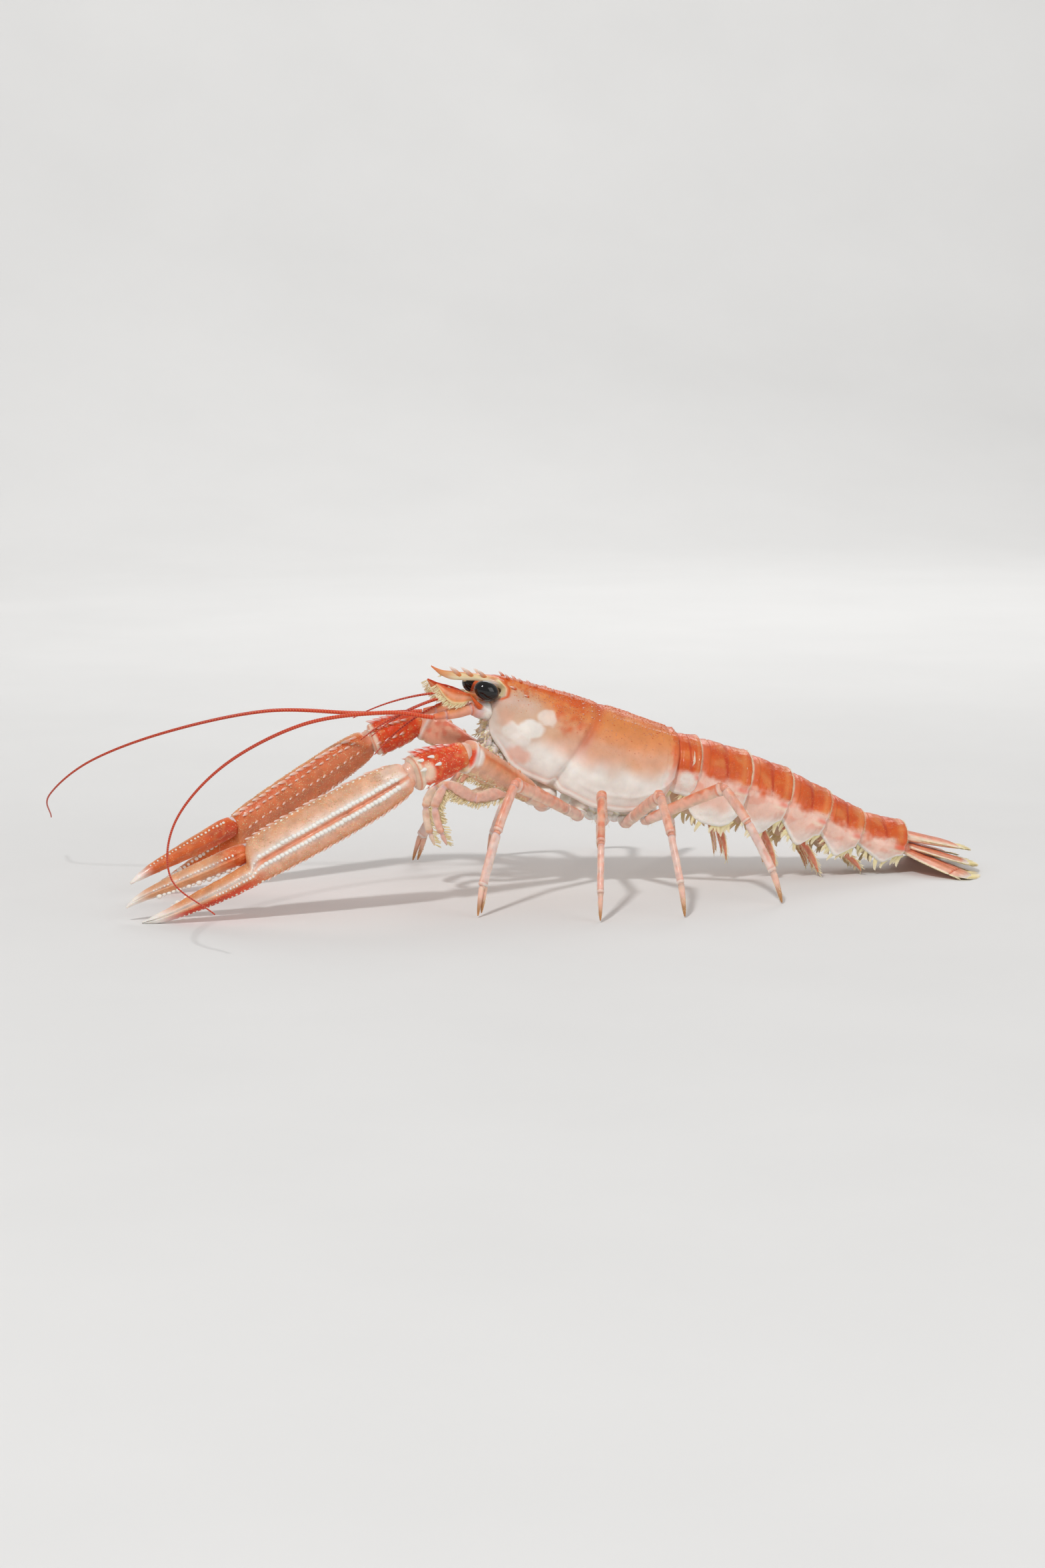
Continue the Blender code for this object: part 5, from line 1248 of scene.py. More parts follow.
def maxillipeds():
    """The leg-like mouth limbs, folded forward under the head and bent down, with combs of hairs."""
    for name, side in SIDES.items():
        lean = 2 if name == "left" else -3
        rng = np.random.default_rng(41 + side)
        point = at(18, 5.1, -31.8)
        marks, table = [at(18.5, 4.9, -28.9), point], [(3, 3.2), (3.9, 3.9)]
        for length, out, rise, share, width, height in MOUTH_LEG:
            point = point + way(out, rise + lean * share) * length
            marks.append(point)
            table.append((width, height))
        rings, p, _ = tube(marks, table, LEVEL, 30, 0.4, 2.2)
        angle = turns(30)[None]
        above, outer = np.sin(angle), np.cos(angle)
        crease = sum(bump(p, k, 0.14) for k in (1.5, 4.9, 8.05, 10.05, 12))
        rim = sum(bump(p, k, 0.14) for k in (4.55, 7.7, 9.75, 11.7))
        rings = raise_by(rings, 0.22 * rim - 0.4 * crease + 0.06 * cloud(rings, 2, 9) + 0 * angle)
        fine = cloud(rings, 2.2, 8)
        tint = paint(rings, "blush", ("ivory", 0.3), ("cream", step(outer + 0.3 * fine, 0.9, 0) * 0.6),
                     ("ivory", step(p, 2.4, 1) * 0.7), ("lilac", np.clip(crease, 0, 1) * 0.7),
                     ("coral", step(fine, 0.1, 0.7) * 0.2), ("amber", rim * 0.5),
                     ("tan", step(above + 0.25 * fine, -0.72, -0.95) * step(p, 2, 2.6) * 0.8))
        skin, hairs = Skin(), Scatter()
        skin.add(rings, tint, 0.3, side)
        low, high = np.searchsorted(p[:, 0], (2.2, 13.2))
        tuft(hairs, rng, rings, range(low, high), range(19, 25), 330, (0.16, 0.09, 2.4), side, out=1, along=0.5,
             loose=0.25)
        skin.make(f"mouth_leg_{name}", "mouth", "mouth_cream", f"maxilliped_{name}")
        comb(hairs, f"mouth_leg_hairs_{name}", "mouth_cream", 3.0, 4)


# Great claws.

def loop(outline, t):
    """Points on the smooth closed curve through an outline, counted in outline points."""
    points = np.array(outline)
    k = np.floor(t).astype(int)
    f = (t - k)[..., None]
    a, b, c, d = (points[(k + shift) % len(points)] for shift in (-1, 0, 1, 2))
    return cubic(a, b, c, d, f)


def claw_points(frame_, table, size, s, t):
    """Points of palm or finger at distances along and places round the outline, with outward normals."""
    start, along, edge, face = frame_
    s, t = np.broadcast_arrays(s, t)
    middle, half, thick = np.moveaxis(smooth_rows(table, s / size) * size, -1, 0)[..., None]
    centre = start + s[..., None] * along + middle * edge

    def section(t):
        """Outline points at the places t, from the middle of each section."""
        shape = loop(CLAW_OUTLINE, t)
        return half * shape[..., :1] * edge + thick * shape[..., 1:] * face

    points = centre + section(t)
    normal = unit(np.cross(section(t + 0.05) - section(t - 0.05), along))
    return points, normal * np.sign((normal * (points - centre)).sum(-1, keepdims=True))


def cheliped_frame(name):
    """Points and directions of one great claw limb."""
    pose = CHELIPED_POSE[name]
    size = pose["size"]
    root = at(*CHELIPED_HIP)
    merus_way, carpus_way = way(*pose["merus"]), way(*pose["carpus"])
    elbow = root + merus_way * MERUS_LENGTH
    joint = elbow + carpus_way * CARPUS_LENGTH * size
    fall = math.degrees(math.asin((joint[2] - 0.3 * size) / (CLAW_LENGTH * size)))
    claw_way = way(pose["claw"], -fall)
    lift = unit(np.array((0, 0, 1)) - claw_way * claw_way[2])
    outward = np.cross(lift, claw_way)
    outward = outward if outward[1] > 0 else -outward
    roll = math.radians(pose["roll"])
    edge = -(lift * math.cos(roll) - outward * math.sin(roll))
    face = outward * math.cos(roll) + lift * math.sin(roll)
    return dict(size=size, root=root, merus=merus_way, carpus=carpus_way, elbow=elbow, joint=joint, claw=claw_way,
                edge=edge, face=face, opening=math.radians(pose["open"]), level=unit((merus_way[1], -merus_way[0], 0)),
                warm=0.25 if name == "left" else 0.85)


def claw_arm(name):
    """Hip, ischium, merus and carpus of a great claw limb."""
    side, f = SIDES[name], cheliped_frame(name)
    rng = np.random.default_rng(51 + side)
    skin, hairs, spines = Skin(), Scatter(), Scatter()
    sternum = float(smooth_rows(STERNUM, 27.5)[1])
    marks = ((27.5, 5.8, sternum + 1), (27.4, 6.2, -33.6), (26.8, 7.6, -36.8), (25.6, 9.4, -38.4))
    hip(skin, hairs, marks, 4.4, side, rng)
    merus, level, warm = f["merus"], f["level"], f["warm"]
    rings, s, x, z = segment(f["root"], merus, 10.2, (6.4, 5.6), (6.9, 7.4), level, 36)
    skin.add(rings, limb_paint(rings, s, z, warm * 0.6, 61), 0.2, side)
    joint_skin(skin, f["root"] + merus * 9.9, merus, 5, 6.4, side)
    start, length = f["root"] + merus * 9.6, MERUS_LENGTH - 9.9
    rings, s, x, z = segment(start, merus, length, (5.8, 8.6), (8.8, 11.8), level, 56, 2.5, 0.5, MERUS)
    fine = cloud(rings, 2.4, 62)
    height = 0.35 * bump(z, -0.97, 0.12) - 0.3 * bump(z, -0.72, 0.12) * step(x, 0, 0.3) + 0.1 * fine
    rings = raise_by(rings, height + 0.3 * bump(s, 0.94, 0.02) - 0.35 * bump(s, 0.9, 0.015))
    tint = paint(rings, "blush",
                 ("sand", step(x + 0.3 * fine, 0, 0.8) * 0.5),
                 ("amber", bump(z, 0.25, 0.35) * step(x, -0.2, 0.3) * 0.75),
                 ("flame", np.clip(warm, 0, 1) * step(fine + z, 0.2, 1) * 0.6),
                 ("back", bump(z, 0.3, 0.12) * step(x, -0.2, 0.3) * step(s, 0.15, 0.5) * 0.6),
                 ("tan", step(z + 0.1 * fine, -0.8, -0.98) * 0.8),
                 ("straw", step(z + 0.3 * cloud(rings, 0.9, 63), -0.8, -1.1) * 0.6),
                 ("ivory", blob(s, z, (0.9, 0.1), (0.07, 0.5)) * step(x, -0.2, 0.4) * 0.85),
                 ("flame", blob(s, z, (0.97, -0.1), (0.035, 0.5)) * step(x, 0, 0.5)),
                 ("ivory", bump(s, 0.94, 0.015) * 0.7), ("lilac", step(s, 0.04, 0)))
    skin.add(rings, tint, np.clip(0.25 + step(z, -0.5, -0.9), 0, 1), side)
    joint_skin(skin, f["elbow"], unit(merus + f["carpus"]), 7.2, 8.4, side)
    for column, long_, places in ((10, 1.9, (0.28, 0.45, 0.62, 0.78, 0.9)), (44, 1.5, (0.35, 0.5, 0.65, 0.8))):
        i = (np.array(places) * (len(rings) - 1)).astype(int)
        thorns(spines, rings, i, column, merus, (1.3, 1.3, long_), side, "amber", 0.3)

    size, carpus = f["size"], f["carpus"]
    s = np.linspace(0, CARPUS[-1][0], CARPUS_RINGS)
    width, height = smooth_rows(CARPUS, s).T * size
    rings = sweep(f["elbow"] + np.outer(s * size, carpus), oval(width, height, 64, 2.4), level)
    angle = turns(64)[None]
    s = s[:, None]
    fine = cloud(rings, 1.6, 64)
    rings = raise_by(rings, (0.22 * fine * step(s, 19, 17) + 0.14 * cloud(rings, 4, 66)) * step(s, 0, 2) + 0 * angle)
    tint = paint(rings, "flame", ("ember", step(fine, 0.1, 0.8) * 0.5), ("amber", step(fine, -0.1, -0.7) * 0.5),
                 ("amber", step(s, 3, 0.5) * 0.6), ("cream", step(s + 0.5 * fine, 18.6, 19.6) * 0.85),
                 ("cream", blob(s, np.sin(angle), (17.5, 0.1), (2.6, 0.45)) * step(np.cos(angle), 0.1, 0.6) * 0.7),
                 ("back", bump(s, 20.9, 0.35) * 0.7))
    skin.add(rings, tint, step(s, 19.5, 18), side)
    for column, first, last, count, long_, colour in CARPUS_SPINES:
        i = (np.linspace(first, last, count) / CARPUS[-1][0] * (CARPUS_RINGS - 1)).astype(int)
        thorns(spines, rings, i, column, carpus, (1.7, 1.7, (long_ + 0.7) * size), side, colour, 0.6, 0.8)
    joint_skin(skin, f["joint"], unit(carpus + f["claw"]), 8.2 * size, 9.6 * size, side, "blush")
    skin.make(f"claw_arm_{name}", "claw", "claw_beige", f"cheliped_merus_{name}", f"cheliped_carpus_{name}")
    prickle(spines, f"claw_arm_spines_{name}", "claw_orange", 0.25, 8, 0.8)
    comb(hairs, f"claw_arm_hairs_{name}", "claw_beige")


def claw_paint(rings, s, t, size, warm, finger):
    """Beige outer face, orange edges, pink groove between the bead rows, amber finger and pale tip."""
    fine, rough = cloud(rings, 1.8, 71 + finger), cloud(rings, 5, 73 + finger)
    inner = step(t, 7.2, 8.2) * step(t, 13, 12.2)
    top_edge = np.maximum(step(t, 0.9, 0.1), step(t, 12, 12.8))
    s = s / size
    if finger:
        return paint(rings, "sand", ("amber", 0.4 + 0.6 * warm), ("back", step(s + 3 * fine, 14, 2) * 0.9),
                     ("back", np.maximum(inner, top_edge) * warm), ("crimson", inner * step(s, 20, 4) * 0.5),
                     ("ivory", bump(t, 3.6, 0.8) * step(s, 6, 14) * 0.7), ("amber", step(fine, 0.1, 0.7) * 0.35),
                     ("ivory", bump(t, 7, 0.5) * step(s, 4, 8) * 0.6), ("ivory", step(s, 36, 44) * 0.9))
    return paint(rings, "sand",
                 ("amber", 0.1 + 0.65 * warm), ("blush", 0.25), ("blush", step(t, 4.4, 5.4) * step(t, 7.4, 6.6) * 0.5),
                 ("amber", step(fine + 0.4 * rough, 0.15, 0.7) * 0.3),
                 # A pale patch near the root of the palm's upper outer face: a painted highlight.
                 ("ivory", blob(s, t, (6, 1.6), (5, 1.6)) * 0.3),
                 ("back", top_edge * (0.7 + 0.3 * warm)),
                 ("amber", step(t, 2.2, 0.8) * step(t + 0.5 * rough, 1.9, 0.8) * 0.7),
                 ("coral", bump(t, 4, 0.5) * 0.6), ("ivory", (bump(t, 3, 0.45) + bump(t, 5, 0.45)) * 0.7),
                 ("amber", step(t, 6.2, 6.8) * step(t, 8.4, 7.4) * 0.7),
                 ("back", inner * (0.3 + 0.35 * warm)),
                 ("amber", step(s, 62, 70) * 0.75),
                 ("flame", step(s, 60, 74) * step(t, 5.2, 5.9) * step(t, 9.4, 8.4) * 0.95),
                 ("crimson", step(s, 72, 86) * step(t, 5.6, 6.4) * step(t, 9, 8) * 0.6),
                 ("flame", step(s, 66, 74) * inner * 0.4), ("ivory", step(s, 62, 68) * bump(t, 3.7, 0.8) * 0.95),
                 ("ivory", step(s, 94, 107) * 0.95), ("blush", step(s, 4, 0.5) * 0.8))


def great_claw(name):
    """The long prismatic palm with its fixed finger, and the hinged finger, with beads and spines."""
    side, f = SIDES[name], cheliped_frame(name)
    size, along, edge, face = f["size"], f["claw"], f["edge"], f["face"]
    rng = np.random.default_rng(81 + side)
    palm = (f["joint"] + along * 0.2, along, edge, face)
    t = np.linspace(0, 13, 104, endpoint=False)[None]
    s = np.concatenate([np.linspace(*span) for span in PALM_RINGS])[:, None] * size
    rings, _ = claw_points(palm, PALM, size, s, t)
    body = step(s, 3, 8) * step(s, 66 * size, 62 * size)
    height = 0.25 * (bump(t, 3, 0.3) + bump(t, 5, 0.3)) * step(s, 3, 8) - 0.45 * bump(t, 4, 0.45) * step(s, 3, 8)
    height += 0.3 * np.maximum(step(t, 0.4, 0), step(t, 12.6, 13)) * body + 0.12 * cloud(rings, 3, 75)
    rings = raise_by(rings, height - 0.5 * bump(s, 0.8, 0.7))
    skin = Skin()
    grain = np.clip(0.75 - 0.6 * bump(t, 4, 0.6) - 0.6 * step(s, 90, 106), 0.05, 1) + 0 * s
    skin.add(rings, claw_paint(rings, s, t, size, f["warm"], 0), grain, side)
    skin.make(f"claw_palm_{name}", "claw", "claw_orange", f"cheliped_palm_{name}")

    opening = f["opening"]
    aim = unit(along * math.cos(opening) - edge * math.sin(opening))
    hinge_edge = unit(edge * math.cos(opening) + along * math.sin(opening))
    hinge = palm[0] + along * (PALM_LENGTH + 1.6) * size - edge * 4.55 * size
    finger = (hinge, aim, hinge_edge, face)
    reach = np.linspace(-1.6, 47, 90)[:, None] * size
    rings, _ = claw_points(finger, FINGER, size, reach, t)
    height = 0.2 * (bump(t, 3, 0.3) + bump(t, 5, 0.3)) - 0.3 * bump(t, 4, 0.45) + 0.08 * cloud(rings, 3, 76)
    rings = raise_by(rings, height * step(reach, 0, 5) * step(reach, 46, 40))
    skin = Skin()
    grain = np.clip(0.6 - 0.5 * step(reach, 30, 42), 0.05, 1) + 0 * t
    skin.add(rings, claw_paint(rings, reach, t, size, f["warm"], 1), grain, side)
    joint_skin(skin, hinge - aim * 0.4, aim, 6 * size, 7 * size, side, "lilac")
    skin.make(f"claw_finger_{name}", "claw", "claw_beige", f"cheliped_finger_{name}")

    beads, spines = Scatter(), Scatter()

    def row(kind, span, place, first, tint="ivory", shrink=(0, 0, 0), forward=0, sunk=0.2, on=(palm, PALM),
            jitter=0.25, molar=(0, 0, 0)):
        """Beads or spines along one line of the palm or the finger."""
        where = np.arange(*span) * size
        where = (where + rng.uniform(-jitter, jitter, len(where)))[:, None]
        points, normal = claw_points(*on, size, where[:, 0], place + rng.uniform(-0.06, 0.06, len(where)))
        lie = unit(normal + on[0][1] * forward)
        x = where / size
        grow = np.array(first) - np.array(shrink) * x + np.array(molar) * (np.sin(x * 1.7) > 0.4)
        grow = rng.uniform(0.85, 1.15, (len(where), 1)) * grow * size
        kind.add(points - normal * sunk * size, lie, on[0][1], grow, side, tint)

    big = sizes().bead_size / MM
    pearl, slim = (big + 0.25, big - 0.1, big - 0.3), (0.007, 0.006, 0.007)
    on_finger, teeth = (finger, FINGER), dict(first=(1.5, 1.5, 1.7), molar=(0.7, 0.5, 0.8))
    row(beads, (6, 64, 1.62), 3, pearl, shrink=slim, sunk=-0.15, jitter=0.1)
    row(beads, (6.6, 64, 1.62), 5, pearl, shrink=slim, sunk=-0.15, jitter=0.1)
    row(beads, (64, 84, 1.35), 5, (1.9, 1.9, 1.6), shrink=(0.014, 0.014, 0.012), sunk=-0.1)
    row(beads, (64, 92, 1.5), 3.2, (1.6, 1.6, 1.1), shrink=(0.013, 0.013, 0.009), sunk=-0.1)
    row(beads, (8, 62, 2.3), 1, (1, 1, 0.9), "straw")
    row(spines, (5.5, 63, 3.1), 0, (1.7, 1.7, 3.7), "blush", (0, 0, 0.01), 1.5, 0.5)
    row(spines, (7, 62, 3.1), 12.3, (1.2, 1.2, 2.3), "blush", forward=1.3, sunk=0.4)
    row(spines, (5, 64, 2.5), 7, (1.4, 1.4, 2.3), "blush", (0, 0, 0.008), 1.1, 0.4)
    row(spines, (8, 62, 2.9), 9, (1.2, 1.2, 1.9), "blush", forward=1.1, sunk=0.4)
    row(spines, (8, 62, 3.3), 11, (1.1, 1.1, 1.7), "blush", forward=1.1, sunk=0.4)
    row(beads, (66, 100, 1.7), 7, (1.3, 1.3, 1), "straw", (0.004, 0.004, 0))
    row(beads, (4, 36, 1.5), 3.2, (1.1, 1.1, 0.9), shrink=(0.01, 0.01, 0), on=on_finger)
    row(beads, (3, 38, 1.7), 0, (1.2, 1.2, 1.1), "straw", (0.012, 0.012, 0), 0.3, on=on_finger)
    row(beads, (70, 99, 1.9), 0, **teeth)
    row(beads, (4, 36, 1.9), 7, **teeth, on=on_finger)

    grit = Scatter()
    count = 1300
    where = rng.uniform(4, 64, count) * size
    place = rng.choice(np.concatenate([np.linspace(*span) for span in GRIT_PLACES]), count)
    points, normal = claw_points(palm, PALM, size, where, place)
    base = tone("sand") * (1 - f["warm"]) + tone("amber") * f["warm"]
    tints = base + (tone("straw") - base) * rng.uniform(0, 0.75, (count, 1))
    grit.add(points, normal, along, rng.uniform(0.25, 0.55, (count, 1)) * (1, 1, 0.8), side, tints)
    grit.make(f"claw_granules_{name}", "beads", "grit", "claw_beige", Sides=6, Rings=4)
    beads.make(f"claw_beads_{name}", "beads", "bead", "claw_beige", Sides=10, Rings=8)
    prickle(spines, f"claw_spines_{name}", "claw_orange", 0.3, 8, 0.65)


# Tail.

def tail_axes():
    """The joints of the tail and the directions of its rings."""
    joints, ways = [at(TAIL_JOINT[0], 0, TAIL_JOINT[1])], []
    for ring in SOMITES:
        ways.append(way(180, -ring["fall"]) * (1, 0, 1))
        joints.append(joints[-1] + ways[-1] * ring["length"])
    return joints, ways


def somite(number):
    """One ring of the tail: back plate with its carved grooves, side flaps, thin belly and hairs."""
    joints, ways = tail_axes()
    row, following = SOMITES[number - 1], SOMITES[min(number, 5)]
    start, axis = joints[number - 1], ways[number - 1]
    length = row["length"]
    hidden = -0.16 if number > 1 else -0.3
    share = np.concatenate((np.linspace(hidden, 0, 7)[:-1], np.linspace(0, 1, int(length * 3.2))))
    deep = smooth_rows(row["outline"], share)[:, 0] * step(share, hidden - 0.05, 0.02)
    swell = smooth_rows(((hidden, 0.9), *RING_SWELL), share)[:, 0]
    mix = np.clip(share, 0, 1) * 0.8
    half = (row["half"] + (following["half"] - row["half"]) * mix) * swell
    top = (row["top"] + (following["top"] - row["top"]) * mix) * swell
    flap = np.maximum(row["flap"] * deep, 2)
    k = np.linspace(-1, 1, 121)
    turn = FLAP_TURN * np.sign(k) * (1 - (1 - np.abs(k)) ** 1.15)
    drop = (1 - np.cos(turn)) / (1 - math.cos(FLAP_TURN))
    out = half[:, None] * np.sin(turn)
    up = top[:, None] - (top + flap)[:, None] * drop
    n = len(k)
    edge = half * math.sin(FLAP_TURN)
    belly = np.minimum(BELLY, flap - 1.2)
    out, up = closed_inside(out, up, [
        (edge - 0.5, 0.1 - flap), (edge - 1.1, 0.7 - flap), (edge - 2, -0.6 * belly - 0.4 * flap + 0.4),
        (edge - 2.4, -belly), (edge * 0.6, -belly - 0.25), (0 * edge, -belly - 0.35)])
    above = np.array((-axis[2], 0, axis[0]))
    rings = start + (share * length)[:, None, None] * axis + out[..., None] * LEVEL + up[..., None] * above
    g, u = share[:, None], up[:, :n]
    back = step(u, -0.5, 2.5)
    rim = from_rim(rings[:, :n])
    wide = np.abs(turn)[None]
    arc = 0.55 + 0.16 * (wide / FLAP_TURN) ** 2
    fine, rough = cloud(rings[:, :n], 1.6, 90 + number), cloud(rings[:, :n], 5, 97 + number)
    height = -0.35 * bump(g, arc, 0.045) * back - 0.4 * bump(g, 0.2, 0.03) * back
    height += 0.3 * bump(rim, 0.9, 0.7) * step(g, 0.05, 0.2)
    height -= 0.35 * bump(u, 0.4, 0.8) * step(g, 0.1, 0.3) * (number > 1)
    height += 0.3 * bump(g, 0.945, 0.03) * back + 0.1 * fine + 0.12 * rough
    rings = raise_by(rings, widen(height, rings))
    low = 1 - step(u + 1.8 * rough + 0.6 * fine, -1.2, 2.6)
    depth = np.clip(-u / (row["flap"] + 1e-6), 0, 1)
    flap_rim = np.maximum(step(rim, 2, 0.9), step(g, 0.93, 0.99)) * low
    second_arc = bump(g, 0.3 + 0.25 * wide, 0.035) * step(wide, 0.2, 0.7)
    tint = paint(u, "back",
                 ("ember", step(rough + 0.4 * fine, 0.1, 0.8) * 0.45 * back), ("amber", step(rough, -0.1, -0.8) * 0.5),
                 ("ember", (bump(g, arc - 0.06, 0.04) + second_arc) * back * 0.6),
                 ("amber", bump(g, 0.86, 0.06) * back * 0.6),
                 ("coral", step(g, 0.17, 0.08) * 0.6), ("cream", step(g, 0.06, 0) * 0.8),
                 ("blush", low * 0.95), ("ivory", low * 0.35),
                 ("coral", low * step(rough + fine * 0.4, 0.1, 0.7) * 0.35),
                 ("ivory", low * step(depth + 0.15 * rough, 0.4, 0.85) * (0.9 if number < 4 else 0.6)),
                 ("ivory", low * step(g, 0.6, 0.85) * step(depth, 0.15, 0.5) * (0.9 if number == 2 else 0.25)),
                 ("ivory", flap_rim * 0.9), ("flame", bump(u, -0.6, 1) * step(g, 0.72, 0.86) * 0.6),
                 ("cream", bump(u, -2.2, 0.45) * step(g, 0.6, 0.8) * 0.6),
                 ("ivory", (number == 1) * blob(g, u, (0.55, -2.5), (0.35, 3)) * 0.9))
    inner = paint(out[:, n:], "belly", ("cream", 0.5 * bump(g, 0.5, 0.2)))
    grain = np.clip(0.25 + 0.65 * back * step(g, 0.2, 0.3), 0, 1) + 0 * u
    skin = Skin()
    skin.add(rings, np.concatenate((tint, inner), 1), widen(grain, rings), swell=0)
    skin.make(f"tail_ring_{number}", "back", "shell_orange", f"tail_somite_{number}")

    rng = np.random.default_rng(100 + number)
    hairs = Scatter()
    for where, count, long_, wide in ((0.22, 60, 0.4, 5), (0.6, 60, 0.4, 5), (0.99, 240, 0.8, 1)):
        rows = np.abs(share - where).argsort()[:wide]
        tuft(hairs, rng, rings[:, :n], rows, range(n // 5, n * 4 // 5), count, (0.08, 0.08, long_), out=0.35,
             along=1, loose=0.15, tint="straw" if where > 0.9 else "coral")
    for side in (-1, 1):
        j = n - 2 if side > 0 else 1
        visible = np.flatnonzero(share > 0.05)
        for centre in rng.choice(visible, 11 if number > 1 else 3, replace=False):
            inward = np.array((0, -side * 0.5, 0))
            aim = unit(-above + axis * rng.uniform(-0.9, 0.3) + inward * 0.3)
            hairs.add(rings[centre, j] + inward - aim * 0.8, aim, axis, rng.uniform(0.6, 1.1) * np.array((1.9, 0.4, 5)))
            i = np.clip(centre + rng.integers(-2, 3, 5), 0, len(share) - 1)
            hairs.add(rings[i, j] + inward, unit(aim + rng.normal(0, 0.16, (5, 3))), axis,
                      rng.uniform(0.7, 1.2, (5, 1)) * (0.12, 0.12, 3))
    comb(hairs, f"tail_hairs_{number}", "shell_orange", 0.6, 4)


def pleopod(pair, name):
    """A swimming leg: a short base and two narrow curved blades fringed with hairs."""
    side = SIDES[name]
    joints, ways = tail_axes()
    lean, length = PLEOPODS[pair]
    axis = ways[pair - 1]
    down = np.array((axis[2], 0, -axis[0]))
    root = joints[pair - 1] + (joints[pair] - joints[pair - 1]) * 0.45 + down * (BELLY - 0.6) + np.array((0, 5.8, 0))
    angle = math.radians(lean)
    along_way = axis * math.cos(angle) + down * math.sin(angle)
    splay = unit(LEVEL + np.cross(axis, LEVEL) * 0.8)
    skin, hairs = Skin(), Scatter()
    rng = np.random.default_rng(pair * 5 + side)
    foot = root + (along_way + down) * 1.6 + down * 1
    marks = (root, root + down * 1.4, foot, foot + along_way * 4.2)
    rings, _, along = tube(marks, ((2.6, 2.4), (3, 2.6), (2.9, 2.4), (1.8, 1.4)), LEVEL, 18, 0.4)
    skin.add(rings, paint(rings, "blush", ("cream", step(along, 2.5, 0) * 0.8)), 0.2, side)
    for shift, share in ((1.5, 1), (-1.8, 0.9)):
        start = foot + along_way * 2.2 + LEVEL * (shift * 0.45)
        reach = (length - 5) * share
        marks = [start + along_way * (reach * s) + LEVEL * (shift * min(s * 2, 0.8)) + np.cross(along_way, LEVEL) * bow
                 for s, _, _, bow in PLEOPOD_BLADE]
        rings, _, along = tube(marks, [r[1:3] for r in PLEOPOD_BLADE], splay, 26, 0.35)
        wide = np.cos(turns(26))[None]
        s = along / along[-1]
        rings = raise_by(rings, 0.1 * bump(wide, 0, 0.25) + 0.03 * np.sin(along * 5))
        tint = paint(rings, "coral", ("blush", 0.5 + 0.4 * cloud(rings, 1.5, pair)),
                     ("straw", step(np.abs(wide), 0.7, 0.95) * 0.7),
                     ("flame", step(s, 0.5, 0) * bump(wide, 0, 0.4) * 0.6), ("tan", step(s, 0.85, 1) * 0.5))
        skin.add(rings, tint, 0.2, side)
        tuft(hairs, rng, rings, range(len(rings) // 7, len(rings)), (0, 13), 46, (0.12, 0.1, 1.75), side, out=0.6,
             along=1, loose=0.12)
    skin.make(f"swimming_leg_{pair}_{name}", "fin", "fin_rose", f"pleopod_{pair}_{name}")
    comb(hairs, f"swimming_leg_hairs_{pair}_{name}", "fin_rose")


def fan_paint(rings, s, wide, ribs, cut):
    """Colours of one plate of the fan: rosy ribs, cream edges and a pale end."""
    fine = cloud(rings, 2, 5)
    rib = np.clip(sum(bump(wide, x, 0.09) for x in ribs), 0, 1)
    return paint(rings, "blush", ("coral", rib * 0.85), ("back", rib * step(s, 0.6, 0.2) * 0.6),
                 ("amber", step(fine, 0, 0.7) * 0.35), ("cream", step(np.abs(wide), 0.8, 0.96) * 0.8),
                 ("ember", bump(s, cut, 0.012) * 0.7), ("blush", step(s, cut, cut + 0.03) * 0.6),
                 ("ivory", step(s + 0.03 * fine, 0.86, 0.98) * 0.7), ("ivory", step(s, 0.1, 0) * 0.5))


